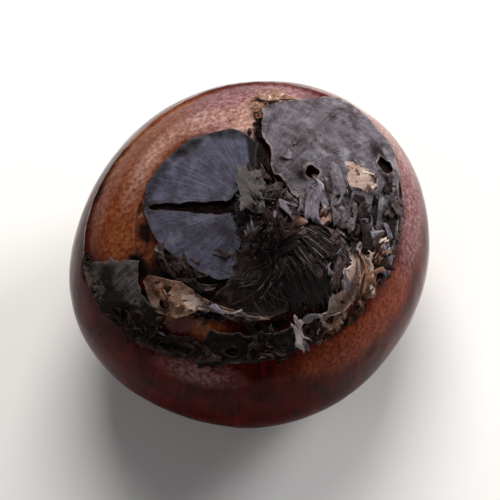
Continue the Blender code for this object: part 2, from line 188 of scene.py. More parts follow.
def skin(azimuth, polar, lift=0.0):
    """Places on the skin at two angles in degrees, raised from it by lift.

    distance = reach x sine^FULLNESS, height = half height x cosine^BLUNTNESS; ridges, lumps
    and lift are added along the direction of the polar angle.
    """
    azimuth, polar = np.broadcast_arrays(np.asarray(azimuth, float), np.asarray(polar, float))
    turn, fall = np.radians(azimuth), np.radians(polar)
    ridges = (RING_RIDGE * bell(polar - ring_angle(r, azimuth), RING_HALF_WIDTH) for r in RINGS)
    grown = lift + sum(ridges)
    for round_count, down_count, size, crest in LUMPS:
        wave = np.cos(round_count * np.radians(azimuth - crest)) * np.sin(down_count * fall) ** 2
        grown = grown + size * wave * np.sin(fall) ** 2
    away = reach_at(azimuth) * np.abs(np.sin(fall)) ** FULLNESS
    level = np.abs(np.cos(fall)) ** BLUNTNESS
    half_height = np.where(polar < 90.0, BODY_HEIGHT - WIDEST_LEVEL, -(WIDEST_LEVEL + FLAT_CUT))
    tilt = SHOULDER_TILT * np.cos(turn - math.radians(SHOULDER_TILT_AZIMUTH))
    high = half_height * level + tilt * np.sin(fall) ** 2
    away, high = away + grown * np.sin(fall), high + grown * np.cos(fall)
    x, y = away * np.cos(turn) - MIDDLE[0], away * np.sin(turn) - MIDDLE[1]
    return np.stack([x, y, WIDEST_LEVEL + high], axis=-1)


def relief(places):
    """The skin's own unevenness: shallow dents 6 mm apart, and smaller ones."""
    return rough(places, 0.10, 6.0, 2, 5) + rough(places, 0.035, 1.4, 2, 9)


def on_skin(x, y, over):
    """Places in plan, raised over the dented skin of the upper half."""
    azimuth = np.degrees(np.arctan2(y + MIDDLE[1], x + MIDDLE[0]))
    share = np.clip(np.hypot(x + MIDDLE[0], y + MIDDLE[1]) / reach_at(azimuth), 0.0, 1.0)
    place = skin(azimuth, np.degrees(np.arcsin(share ** (1.0 / FULLNESS))))
    place[..., 2] += relief(place) + over
    return place


print("solid corm in mm:", in_mm(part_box("corm")), "crown in mm:", in_mm([skin(0.0, 0.0)]))

# %% [markdown]
# Every new piece goes the same way: numpy works out its places and faces, and one helper puts
# them into a mesh. A second helper writes numbers onto the vertices, such as how near a torn
# edge is. A material can colour the piece by them, however it bends.

# %% From arrays to a piece
def put_mesh(name, places, faces, material, replaced=()):
    """A smooth piece with these places and faces, that rides on the corm's one body."""
    mesh = bpy.data.meshes.new(name)
    places = np.asarray(places).reshape(-1, 3).tolist()
    mesh.from_pydata(places, [], [list(face) for face in faces])
    mesh.shade_smooth()
    mesh.materials.append(material)
    piece = bpy.data.objects.new(name, mesh)
    bpy.context.scene.collection.objects.link(piece)
    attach(piece, "root")
    if replaced:
        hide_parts(*replaced)
    return piece


def mark(piece, **marks):
    """Stores numbers on the vertices under a name: one for each vertex, or three."""
    for name, values in marks.items():
        values = np.asarray(values, np.float32).reshape(len(piece.data.vertices), -1)
        single = values.shape[1] == 1
        layer = piece.data.attributes.new(name, "FLOAT" if single else "FLOAT_VECTOR", "POINT")
        layer.data.foreach_set("value" if single else "vector", values.ravel())


def columns(*parts):
    """Arrays side by side, as places or as rows for noise."""
    return np.stack(np.broadcast_arrays(*parts), axis=-1)


def fibre_marks(azimuth, polar):
    """A place on an unrolled drum: noise read here runs in fibres to the crown."""
    turn = np.radians(azimuth)
    return columns(10.0 * np.cos(turn), 10.0 * np.sin(turn), np.asarray(polar) * 0.02)


def triangles_of(piece):
    """How many triangles a piece has, before its modifiers."""
    return sum(len(face.vertices) - 2 for face in piece.data.polygons)


def thicken(piece, wall):
    """Turns a thin sheet's face up and gives it a wall."""
    if sum(face.normal.z * face.area for face in piece.data.polygons) < 0.0:
        piece.data.flip_normals()
    modifier = piece.modifiers.new("wall", "SOLIDIFY")
    modifier.thickness, modifier.offset = wall, 1.0
    print(f"{piece.name}: {triangles_of(piece)} triangles a side")


def sheet_faces(index):
    """The four-sided faces of a grid of vertex numbers."""
    corners = index[..., :-1, :-1], index[..., :-1, 1:], index[..., 1:, 1:], index[..., 1:, :-1]
    return np.stack(corners, axis=-1).reshape(-1, 4)


def closed_grid(around, levels, full_turn=2.0 * math.pi, upward=False):
    """Turns, levels and faces of a closed grid with one vertex at either end.

    The faces look out when the levels run down, or with upward when they run up.
    """
    turn, level = np.meshgrid(np.arange(around) * full_turn / around, levels[1:-1])
    index = np.arange(turn.size).reshape(turn.shape)
    right = np.roll(index, -1, axis=1)
    quads = np.stack([index[:-1], index[1:], right[1:], right[:-1]], axis=-1)
    faces = quads.reshape(-1, 4).tolist()
    faces += [[turn.size, a, b] for a, b in zip(index[0], right[0])]
    faces += [[turn.size + 1, b, a] for a, b in zip(index[-1], right[-1])]
    if upward:
        faces = [face[:1] + face[:0:-1] for face in faces]
    return np.append(turn, [0.0, 0.0]), np.append(level, [levels[0], levels[-1]]), faces


# %% [markdown]
# ## Mixing materials
# A material is a small network of nodes. This helper adds one node a call, so that a finish
# reads like a recipe. All patterns come from noise on the object's own coordinates or on the
# marks above. Colours are given as they look on a screen, from 0 to 255. Values that are the
# same all over, such as the gloss of the coat, are set on the shader itself.

# %% A recipe for a material
def shade(colour):
    """A screen colour as the even values that light uses."""
    return [((v / 255 + 0.055) / 1.055) ** 2.4 if v > 10 else v / 255 / 12.92 for v in colour]


class Recipe:
    """A material that is mixed step by step; each step returns what the next one can use."""

    def __init__(self, name):
        self.material = bpy.data.materials.new(name)
        self.material.use_nodes = True
        self.nodes = self.material.node_tree.nodes
        self.shader = self.nodes["Principled BSDF"]
        self.object = self.nodes.new("ShaderNodeTexCoord").outputs["Object"]

    def give(self, sockets, values):
        """Links a step's result to each named socket, or sets a plain value or colour there."""
        for name, value in values.items():
            if isinstance(value, bpy.types.NodeSocket):
                self.material.node_tree.links.new(value, sockets[name])
            elif isinstance(value, tuple):
                sockets[name].default_value = (*shade(value), 1.0)
            else:
                sockets[name].default_value = value

    def add(self, kind, values, out=0, **settings):
        """A new node of a kind, with its values and settings; gives back one of its outputs."""
        node = self.nodes.new("ShaderNode" + kind)
        for name, value in settings.items():
            setattr(node, name, value)
        self.give(node.inputs, values)
        return node.outputs[out]

    def mark(self, name, out="Fac"):
        """A number that the vertices carry, or three with out Vector."""
        return self.add("Attribute", {}, out, attribute_name=name)

    def noise(self, size, where=None, detail=4.0, rough=0.55, stretch=(1.0, 1.0, 1.0)):
        """Noise with blotches of about size, in the units of where, drawn out by stretch."""
        scale = [1.0 / (size * s) for s in stretch]
        place = self.add("Mapping", {"Scale": scale, "Vector": where or self.object})
        values = {"Vector": place, "Scale": 1.0, "Detail": detail, "Roughness": rough}
        return self.add("TexNoise", values, "Fac")

    def sum(self, operation, first, second=0.0, third=0.0, clamp=True):
        """One sum on numbers, kept between 0 and 1 unless told otherwise."""
        values = {0: first, 1: second, 2: third}
        return self.add("Math", values, operation=operation, use_clamp=clamp)

    def times(self, first, second, clamp=True):
        """Two numbers multiplied."""
        return self.sum("MULTIPLY", first, second, clamp=clamp)

    def line(self, value, factor, offset, clamp=True):
        """value x factor + offset."""
        return self.sum("MULTIPLY_ADD", value, factor, offset, clamp)

    def between(self, value, low, high):
        """0 where value is under low, 1 where it is over high, and a straight slope between."""
        return self.add("MapRange", {"Value": value, "From Min": low, "From Max": high})

    def blend(self, amount, first, second):
        """Colour first, going over to colour second by amount."""
        return self.add("Mix", {0: amount, 6: first, 7: second}, 2, data_type="RGBA")

    def bump(self, height, depth, under=None):
        """Tilts the surface as if height, from 0 to 1, were carved depth metres deep."""
        below = {"Normal": under} if under else {}
        return self.add("Bump", {"Strength": 1.0, "Distance": depth, "Height": height, **below})

    def serve(self, colour, roughness, normal=None, **fixed):
        """Connects the mix to the shader, with the fixed values on the shader's own sockets."""
        below = {"Normal": normal} if normal else {}
        self.give(self.shader.inputs, {"Base Color": colour, "Roughness": roughness, **below})
        for name, value in fixed.items():
            label = name.replace("_", " ").title().replace("Ior", "IOR")
            self.give(self.shader.inputs, {label: value})
        return self.material


print("a mid grey is", [round(v, 3) for v in shade((128, 128, 128))])

# %% [markdown]
# ## The skin of the corm
# The skin is thin and tight, like a polished nut. It is nearly black maroon below the lower
# ring, where it was fully ripe, and amber round the shoulder where the torn leaves once shaded
# it. Each of these zones is an oval patch, given as azimuth, polar angle, reach round, reach
# down and strength, and noise breaks its edge. The pink zones, and most cream ones, are painted
# highlights and reflections of the glossy skin. Soot lies along the rings, and the same mark
# paints shade into the seam, the slits and the holes between the leaves and under the crown.
# Its zones are given with the rings level.

# %% Zones of colour on the skin
SKIN_ZONES = {
    "amber": (
        (155, 47, 36, 14, 1), (199, 34, 11, 5, 0.8), (130, 58, 24, 12, 0.6), (188, 42, 16, 8, 0.7),
        (250, 41.5, 8, 4.5, 1), (230, 43.5, 5, 3, 0.8), (60, 128, 70, 12, 0.5),
        (230, 126, 80, 10, 0.45), (0, 165, 999, 16, 0.6),
    ),
    "rust": (
        (303, 60, 20, 9, 0.85), (332, 64, 20, 8, 0.85),
    ),
    # Painted highlights and reflections of the glossy skin: on the top, the right flank and the
    # front.
    "pink_highlight": (
        (104, 42, 20, 12, 0.9), (101, 27.5, 12, 5, 0.9), (78, 48, 14, 9, 0.9), (4, 63, 20, 8, 0.8),
        (251, 61, 14, 6, 0.8), (40, 66, 30, 8, 0.7),
    ),
    # The first three are pale tissue by the lobe's top. The others paint highlights on the top,
    # along the shield's edge, on the upper right flank and at the front.
    "cream": (
        (78, 43, 9, 6, 1), (92, 33, 5, 7, 0.7), (95, 27, 7, 5, 0.7), (110, 36, 17, 8, 0.34),
        (145, 42, 32, 6, 0.46), (44, 66, 24, 6, 0.46), (247, 62, 9, 4, 0.16),
    ),
    "dull": (
        (266, 90, 70, 24, 1),
    ),
}
# Soot along the rings, and painted shade where the leaves part: the seam, the slits, the holes and
# the skin under the crown.
LEVEL_SOOT_AND_SHADE_ZONES = (
    (229, 50, 29, 5, 1), (228, 27, 20, 7, 1.2), (264, 51, 30, 4, 0.9), (0, 0, 999, 22, 1),
    (318, 48, 24, 8, 0.6), (82.5, 24, 5, 9, 1.3), (26, 49.5, 9, 6, 1.5), (278, 38.5, 14, 3.5, 1.1),
    (191, 28, 9, 2.6, 0.5), (250, 27, 8, 6, 1.2), (168, 55, 22, 5, 0.42), (351, 41, 5, 3, 1),
    (205, 35, 8, 5, 0.75), (194, 58, 5, 6, 0.8), (218, 42, 4, 6, 1.1), (185, 7, 60, 7, 1),
    (177, 20, 3, 8.5, 1), (86, 14, 9, 6, 1.2), (20, 56, 60, 2, 0.5), (138, 31, 38, 1.5, 0.9),
    (140, 56, 70, 1.2, 0.45), (0, 134, 999, 1.6, 0.8),
)


def zone_sum(zones, azimuth, polar):
    """Soft oval patches laid over each other, from 0 to 1."""
    total = 0.0 * azimuth
    for middle, level, round_, down, strength in zones:
        turn = (azimuth - middle + 180.0) % 360.0 - 180.0
        total = total + strength * (bell(turn, round_) * bell(polar - level, down))
    return np.clip(total, 0.0, 1.0)


def skin_recipe():
    """Glossy maroon skin with amber and sooty zones, painted highlights and shade, streaks and
    pores.
    """
    mix = Recipe("chestnut_skin")
    blotch = mix.noise(2.4 * MM, detail=6.0, rough=0.62)
    fine = mix.noise(0.45 * MM, detail=5.0, rough=0.6)
    streak = mix.noise(0.22, mix.mark("fibre", "Vector"), stretch=(1.0, 1.0, 2.0))

    def mottled(low, high, dark, light):
        return mix.blend(mix.between(fine, low, high), dark, light)

    colour = mix.blend(mix.between(blotch, 0.38, 0.66), (44, 3, 4), (80, 9, 8))
    colour = mix.blend(mix.times(mix.between(streak, 0.5, 0.75), 0.6), colour, (96, 22, 14))
    amber = mottled(0.35, 0.68, (88, 37, 18), (130, 76, 45))
    overs = {
        "amber": mix.blend(mix.between(blotch, 0.50, 0.70), amber, (86, 26, 16)),
        "rust": mottled(0.35, 0.7, (90, 31, 17), (138, 70, 44)),
        # The pink and cream overs paint highlights. Some cream is pale tissue.
        "pink_highlight": mottled(0.4, 0.7, (94, 49, 48), (143, 107, 107)),
        "cream": mottled(0.4, 0.7, (140, 98, 84), (186, 158, 146)),
    }
    broken = mix.line(mix.sum("SUBTRACT", blotch, 0.5, clamp=False), 1.3, 0.0, clamp=False)
    for name, over in overs.items():
        amount = mix.sum("ADD", mix.mark(name), mix.times(broken, mix.mark(name), clamp=False))
        colour = mix.blend(mix.between(amount, 0.12, 0.62), colour, over)
    speck = mix.times(mix.between(mix.noise(0.7 * MM, detail=3.0), 0.6, 0.7), 0.75)
    colour = mix.blend(speck, colour, (58, 26, 20))
    # Soot, and painted shade in the gaps and holes: near black, with less coat.
    soot_and_shade = mix.sum("ADD", mix.mark("soot_and_shade"), mix.times(broken, 0.9, clamp=False))
    soot_and_shade = mix.times(mix.between(soot_and_shade, 0.3, 0.75), mix.between(mix.mark("soot_and_shade"), 0.05, 0.3))
    colour = mix.blend(soot_and_shade, colour, mottled(0.4, 0.7, (14, 9, 8), (31, 21, 18)))
    gloss = mix.sum("ADD", mix.line(fine, 0.16, 0.17), mix.times(soot_and_shade, 0.35))
    polish = mix.line(mix.mark("dull"), -0.85, mix.line(soot_and_shade, -0.92, 1.0))
    ripple = mix.bump(streak, 0.05 * MM, mix.bump(fine, 0.06 * MM))
    return mix.serve(colour, gloss, ripple, coat_weight=polish, coat_roughness=0.06, coat_ior=1.18,
                     specular_ior_level=0.0, specular_tint=[0.9, 0.35, 0.3, 1.0])


SKIN = skin_recipe()
print("zones:", {name: len(rows) for name, rows in SKIN_ZONES.items()})

# %% [markdown]
# The corm's own mesh is a grid round and down, with closer rows at each ring. The base is cut
# flat where it stands, and the runner's scar is sunk into it.

# %% The corm
def polar_rows(count):
    """Polar angles from crown to base, with rows about three times closer over each ring."""
    angle = np.linspace(0.0, 180.0, 3601)
    closeness = 1.0 + sum(2.2 * bell(angle - ring, 3.5) for ring in RINGS)
    run = np.concatenate([[0.0], np.cumsum(0.5 * (closeness[1:] + closeness[:-1]))])
    return np.interp(np.linspace(0.0, run[-1], count), run, angle)


def flatten_base(places):
    """Cuts the body flat where it rests, and sinks the scar into the flat, with its stub."""
    high, away = places[..., 2], np.hypot(places[..., 0], places[..., 1])
    ragged = 1.0 + 0.12 * noise(places, 1.5 * MM, 2, 40)
    dimple = np.clip((SCAR_RADIUS * ragged - away) / (0.4 * SCAR_RADIUS), 0.0, 1.0)
    stub = np.clip((STUB_RADIUS * ragged - away) / (0.3 * STUB_RADIUS), 0.0, 1.0)
    cut = np.maximum(high, 0.0) + SCAR_DEPTH * dimple - STUB_HEIGHT * stub
    places[..., 2] = np.where(high < 0.5 * WIDEST_LEVEL, cut, high)
    return places


def make_corm(around=408, down=226):
    """The swollen stem with its dents, rings, scar and zones of colour."""
    azimuth, level, faces = closed_grid(around, polar_rows(down), 360.0)
    polar = follow_rings(azimuth, level)
    smooth = skin(azimuth, polar)
    ridge = sum(bell(polar - ring_angle(ring, azimuth), 0.9) for ring in RINGS)
    lift = relief(smooth) + 0.09 * MM * ridge * noise(smooth, 0.8 * MM, 2, 60)
    places = flatten_base(skin(azimuth, polar, lift))
    corm = put_mesh("corm_skin", places, faces, SKIN, ("corm",))
    mark(corm, soot_and_shade=zone_sum(LEVEL_SOOT_AND_SHADE_ZONES, azimuth, level), fibre=fibre_marks(azimuth, polar),
         **{name: zone_sum(zones, azimuth, polar) for name, zones in SKIN_ZONES.items()})
    print(corm.name, triangles_of(corm), "triangles")


make_corm()

# %% [markdown]
# ## Torn scale leaves
# Each leaf once wrapped the young corm from its ring up to the crown. Now it is dry, papery
# and torn. A torn outline is easy to state as a number that is positive where leaf is left:
# the distance to the nearest side, slit or hole, with some noise. The grid keeps the faces
# where it is positive, and pulls the outer vertices onto the line where it is nought.

# %% Tearing a grid
def biggest_patch(inside):
    """The largest connected patch of a grid of true and false, found by spreading labels."""
    label = np.where(inside, np.arange(inside.size).reshape(inside.shape), inside.size)
    while True:
        wide = np.pad(label, 1, constant_values=inside.size)
        beside = wide[:-2, 1:-1], wide[2:, 1:-1], wide[1:-1, :-2], wide[1:-1, 2:]
        near = np.where(inside, np.minimum.reduce([*beside, label]), inside.size)
        if (near == label).all():
            break
        label = near
    names, counts = np.unique(label[inside], return_counts=True)
    return label == names[np.argmax(counts)]


def pull_to_edge(values, keep):
    """Moves grid values just outside the torn line onto it, towards their kept neighbours."""
    weight = np.zeros(keep.shape)
    moved = [np.zeros(keep.shape) for _ in values]
    for step in ((-1, 0), (1, 0), (0, -1), (0, 1), (-1, -1), (-1, 1), (1, -1), (1, 1)):
        near_keep = np.roll(keep, step, axis=(0, 1))
        use = (keep <= 0.0) & (near_keep > 0.0)
        share = np.where(use, near_keep / np.maximum(near_keep - keep, 1e-12), 0.0)
        weight += use
        for total, value in zip(moved, values):
            near = np.roll(value, step, axis=(0, 1))
            total += np.where(use, near + (value - near) * share, 0.0)
    done = weight > 0
    return [np.where(done, t / np.maximum(weight, 1), value) for t, value in zip(moved, values)]


def torn_grid(azimuth, polar, keep):
    """What is left of a grid: the kept vertices' two values and keep, and the faces."""
    keep = np.where(biggest_patch(keep > 0.0), keep, np.minimum(keep, -1e-6))
    values = (*pull_to_edge((azimuth, polar), keep), np.maximum(keep, 0.0))
    cells = sheet_faces(np.arange(keep.size).reshape(keep.shape))
    used, faces = np.unique(cells[(keep > 0.0).ravel()[cells].any(axis=1)], return_inverse=True)
    return [value.ravel()[used] for value in values], faces.reshape(-1, 4)


# %% [markdown]
# A leaf lies close on the skin at its ring, stands off it further up, and curls where it is
# torn. So its lift over the skin grows from the ring to the crown, grows again near a tear,
# and takes some crumpling. Its wall is about a tenth of a millimetre.

# %% Laying a leaf on the skin
PAPER, CURL_REACH, LEAST_LIFT = 0.12 * MM, 0.5 * MM, 0.07


def lay_leaf(name, azimuths, polars, size, keep_of, material, salt, rest, curl, crumple,
             grime_and_shade=(), bare=()):
    """A torn leaf over the skin. keep_of gives distances in metres, positive where leaf is left.

    lift = rest from the ring to the crown + curl x e^(-distance to the tear / CURL_REACH) +
    crumpling, in millimetres. grime zones darken it, with dirt and with painted shade in seams,
    slits and holes. bare zones are worn to pale tissue.
    """
    azimuth, polar = np.meshgrid(np.linspace(*azimuths, size[0]), np.linspace(*polars, size[1]))
    keep = np.minimum.reduce(keep_of(azimuth, polar, skin(azimuth, polar)))
    (azimuth, polar, keep), faces = torn_grid(azimuth, polar, keep)
    smooth, fibres = skin(azimuth, polar), fibre_marks(azimuth, polar)
    along = np.clip((polar - polars[0]) / (polars[1] - polars[0]), 0.0, 1.0)
    edge = np.exp(-keep / CURL_REACH)
    ring_side = np.clip(1.0 - along * 4.0, 0.0, 1.0)
    uneven = np.clip(0.5 + noise(smooth, 1.5 * MM, 2, salt + 3), 0.0, 1.4)
    lift = rest[0] + (rest[1] - rest[0]) * along + curl * edge * (1.0 - 0.9 * ring_side) * uneven
    lift = lift + crumple * noise(smooth, 2.2 * MM, 4, salt + 7) * (1.0 - 0.6 * ring_side)
    lift = lift + 0.03 * noise(fibres, 0.35, 2, salt + 11)
    lift = lift + 0.25 * crumple * noise(fibres, 1.3, 2, salt + 12)
    places = skin(azimuth, polar, np.maximum(lift, LEAST_LIFT) * MM + relief(smooth))
    replaced = (name,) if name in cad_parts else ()
    leaf = put_mesh(name, places, faces[:, ::-1], material, replaced)
    mark(leaf, edge=edge, fibre=fibres, along=along, grime_and_shade=zone_sum(grime_and_shade, azimuth, polar),
         bare=zone_sum(bare, azimuth, polar))
    thicken(leaf, PAPER)


# %% [markdown]
# Dry leaf is matt and grey, with a blue or olive cast, and its fibres run straight to the
# crown. Rain and soil leave blotches, and the torn edge goes brown or pale. Grime zones go
# near black: dirt in places, and painted shade in seams, slits and round holes. One recipe
# makes all finishes from five colours: dark, middle, light, stain and pale.

# %% Finishes of the leaves
def leaf_recipe(name, dark, middle, light, stain, pale, blotchy, roughness, lines=0.5):
    """Dry leaf: fibre streaks, blotches, stains, a torn rim, and grime with painted shade."""
    mix = Recipe(name)
    fibre = mix.mark("fibre", "Vector")
    streak = mix.noise(0.16, fibre, 5.0, 0.6, (1.0, 1.0, 4.0))
    line = mix.noise(0.06, fibre, 2.0, 0.5, (1.0, 1.0, 16.0))
    blotch = mix.noise(1.9 * MM, detail=7.0, rough=0.68)
    cloud = mix.noise(4.5 * MM, detail=3.0, rough=0.5)
    grain = mix.noise(0.22 * MM, detail=4.0, rough=0.65)
    colour = mix.blend(mix.between(streak, 0.22, 0.56), dark, middle)
    lit = mix.times(mix.between(blotch, 0.50, 0.66), mix.between(cloud, 0.42, 0.58))
    colour = mix.blend(lit, colour, light)
    colour = mix.blend(mix.times(mix.between(blotch, 0.52, 0.36), blotchy), colour, stain)
    colour = mix.blend(mix.times(mix.between(line, 0.54, 0.64), lines), colour, dark)
    colour = mix.blend(mix.times(mix.between(grain, 0.58, 0.72), 0.5), colour, light)
    uneven = mix.sum("SUBTRACT", blotch, 0.5, clamp=False)
    bare = mix.line(uneven, 1.6, mix.mark("bare"), clamp=False)
    colour = mix.blend(mix.between(bare, 0.42, 0.62), colour, pale)
    # Grime zones: dirt, and painted shade in seams, slits and round holes, both near black.
    grime_and_shade = mix.line(uneven, -1.2, mix.mark("grime_and_shade"), clamp=False)
    colour = mix.blend(mix.times(mix.between(grime_and_shade, 0.22, 0.62), 0.95), colour, (20, 14, 12))
    torn = mix.times(mix.between(mix.mark("edge"), 0.5, 1.0), mix.between(blotch, 0.40, 0.66))
    colour = mix.blend(mix.times(torn, 0.45), colour, pale)
    height = mix.line(line, 0.6, mix.times(streak, 0.6))
    normal = mix.bump(blotch, 0.30 * MM, mix.bump(height, 0.10 * MM, mix.bump(grain, 0.06 * MM)))
    matt = mix.line(grain, 0.3, roughness - 0.12)
    return mix.serve(colour, matt, normal, specular_ior_level=0.05)


SLATE, MAUVE, OLIVE, UMBER, TAN, HUSK, SAGE, CREAM = (leaf_recipe(*row) for row in (
    ("papery_slate", (46, 44, 54), (77, 76, 90), (98, 98, 108), (56, 49, 54), (92, 82, 76),
     0.9, 0.62, 0.25),
    ("papery_mauve", (54, 48, 51), (93, 87, 92), (127, 123, 129), (54, 43, 43),
     (196, 174, 162), 0.9, 0.62, 0.25),
    ("weathered_olive", (44, 39, 37), (90, 84, 83), (114, 109, 110), (34, 26, 22),
     (118, 98, 84), 0.8, 0.72),
    ("weathered_umber", (14, 10, 9), (32, 24, 21), (66, 57, 55), (20, 13, 10), (122, 108, 102),
     0.7, 0.66),
    ("torn_tan", (76, 49, 37), (126, 92, 75), (164, 138, 124), (44, 23, 14), (170, 152, 142),
     0.8, 0.68),
    ("bud_husk", (114, 86, 74), (196, 168, 157), (218, 201, 191), (104, 70, 53),
     (222, 207, 197), 0.8, 0.66, 0.8),
    ("weathered_sage", (62, 57, 57), (86, 82, 81), (104, 100, 102), (60, 52, 48),
     (116, 106, 100), 0.6, 0.66, 0.6),
    ("torn_cream", (120, 94, 82), (168, 144, 133), (194, 177, 168), (116, 84, 68),
     (210, 197, 189), 0.4, 0.7),
))
print("leaf finishes:", [finish.name for finish in (SLATE, MAUVE, OLIVE, UMBER, TAN, HUSK)])

# %% [markdown]
# Now the leaves themselves. Sides that were torn lengthwise follow the fibres and are fairly
# straight. The inner edge, which tore across the fibres, is the most ragged. Near the two buds
# every leaf ends, because the buds pushed it off.

# %% Where leaf is left
def from_axis(place):
    """How far a place is from the corm's axis, in plan."""
    return np.hypot(place[..., 0] + MIDDLE[0], place[..., 1] + MIDDLE[1])


def sides_left(azimuth, place, start, end, size, salt):
    """Distance to the nearer of two lengthwise sides, ragged by size millimetres."""
    near = np.minimum(np.radians(azimuth - start), np.radians(end - azimuth)) * from_axis(place)
    return near + rough(place, size, 1.1, 3, salt)


def ends_left(polar, place, outer, inner, size, salt):
    """Distance to the nearer end: smooth at the ring, ragged by size towards the crown."""
    clean = (outer - polar) * DEGREE_LENGTH + rough(place, 0.05, 1.5, 3, salt + 1)
    return np.minimum(clean, (polar - inner) * DEGREE_LENGTH + rough(place, size, 1.2, 4, salt + 2))


def clear_of_buds(place, margin, salt):
    """Distance from the two buds, less a margin in millimetres."""
    gaps = [np.hypot(place[..., 0] - bud[0], place[..., 1] - bud[1]) - radius
            for bud, radius in ((TOP_BUD, TOP_RADIUS), (SIDE_BUD, SIDE_RADIUS))]
    return np.minimum(*gaps) - margin * MM + rough(place, 0.35, 0.9, 3, salt)


def beyond_slit(azimuth, polar, place, at, tips, widths, salt):
    """Distance to a slit along the fibres, that widens from its outer tip to its inner end."""
    along = np.clip((tips[0] - polar) / (tips[0] - tips[1]), -1.0, 1.0)
    middle = at + 11.0 * np.maximum(along, 0.0) ** 2 + 1.0 * noise(place, 3.0 * MM, 2, salt)
    gap = np.abs(np.radians(azimuth - middle)) * from_axis(place)
    width = (widths[0] + (widths[1] - widths[0]) * along) * np.clip(along * 9.0, -1.0, 1.0)
    return gap - width * MM * (1.0 + 0.35 * noise(place, 0.8 * MM, 2, salt + 1))


def beyond_hole(place, azimuth, polar, radius, salt, stretch=1.0):
    """Distance to a ragged hole round a place that is given by its two angles."""
    offset = (place - skin(azimuth, polar)) * np.array([1.0 / stretch, 1.0, 1.0])
    ragged = 1.0 + 0.6 * noise(place, 0.9 * MM, 3, salt)
    return np.linalg.norm(offset, axis=-1) - radius * MM * ragged


# %% The upper leaves
def shield_left(azimuth, polar, place):
    """The slate shield: a third of the way round inside the upper ring, slit along one fibre."""
    outer = np.interp(azimuth, (166, 180, 190, 203, 212, 220, 246, 256),
                      (35.0, 33.0, 30.5, 28.0, 26.0, 24.4, 24.0, 22.0))
    outer = np.where(azimuth < 166.0, ring_angle(UPPER_RING, azimuth) + 0.6, outer)
    outer = outer - 0.9 * np.clip((126.0 - azimuth) / 12.0, 0.0, 1.0)
    outer = outer - 6.0 * np.clip((104.0 - azimuth) / 20.0, 0.0, 1.0) ** 1.5
    return (
        sides_left(azimuth, place, 84.0, 256.0, 0.22, 100),
        ends_left(polar, place, outer, 4.2 + 3.0 * (azimuth - 100.0) / 132.0, 0.7, 101),
        clear_of_buds(place, -0.9, 104),
        beyond_slit(azimuth, polar, place, 177.5, (32.5, 5.0), (0.26, 0.76), 105),
    )


def front_left(azimuth, polar, place):
    """The dark leaf in front of the crown, whose left outer corner is torn back."""
    torn_back = 5.5 * np.clip(1.0 - (azimuth - 238.0) / 26.0, 0.0, 1.0)
    start = np.interp(polar, (10, 17, 24, 30, 36), (250, 255, 254, 248, 243))
    outer = ring_angle(UPPER_RING, azimuth) + 0.4 - torn_back
    return (
        sides_left(azimuth, place, start, 290.0, 0.35, 110),
        ends_left(polar, place, outer, 12.0, 0.8, 111),
        clear_of_buds(place, -0.2, 114),
    )


def edge_left(azimuth, polar, place):
    """A tan strip outside the upper ring, broad at its left end and thin at its right."""
    stops = (213, 219, 227, 236, 243, 254, 266, 282)
    outer = np.interp(azimuth, stops, (39.0, 41.5, 44.0, 41.0, 35.4, 33.9, 34.6, 36.4))
    inner = np.interp(azimuth, stops, (36.0, 33.0, 30.0, 30.0, 31.0, 31.8, 33.1, 36.2))
    return (
        sides_left(azimuth, place, 213.0, 282.0, 0.2, 120),
        (outer - polar) * DEGREE_LENGTH + rough(place, 0.22, 1.0, 3, 121),
        (polar - inner) * DEGREE_LENGTH + rough(place, 0.14, 1.2, 3, 123),
        beyond_hole(place, 228.0, 39.6, 0.55, 122),
    )


# The shield's grime stains its margin and paints shade in the seam, along the slit and near the
# crown.
lay_leaf("upper_scale_left", (80.0, 260.0), (39.0, 4.0), (290, 100), shield_left, SLATE,
         130, (0.12, 0.46), 0.16, 0.16, grime_and_shade=(
             (103, 26.4, 14, 4.4, 0.56), (124, 30.2, 14, 4.4, 0.5), (146, 33, 14, 4.4, 0.5),
             (168, 34.5, 14, 4.6, 0.48), (87, 26, 7, 14, 1.2), (82, 13, 10, 6, 1),
             (177, 25, 4, 9, 0.5), (188, 9, 14, 6, 0.7), (238, 11, 16, 5, 0.3),
         ))
lay_leaf("upper_scale_front", (231.0, 294.0), (39.0, 8.5), (130, 92), front_left, UMBER,
         140, (0.30, 0.60), 0.35, 0.30,
         bare=((262, 35, 16, 1.2, 0.55), (280, 36, 8, 1.2, 0.5)))
# Its grime paints shade round its hole.
lay_leaf("upper_scale_edge", (208.0, 286.0), (47.0, 27.5), (190, 80), edge_left, TAN,
         150, (0.30, 0.42), 0.22, 0.20,
         grime_and_shade=((228, 40.5, 2.6, 2, 1.0), (219, 42, 5, 2.5, 0.5)),
         bare=((256, 33, 13, 3, 0.3), (238, 34, 6, 3, 0.9), (222, 35, 4, 2, 0.3)))


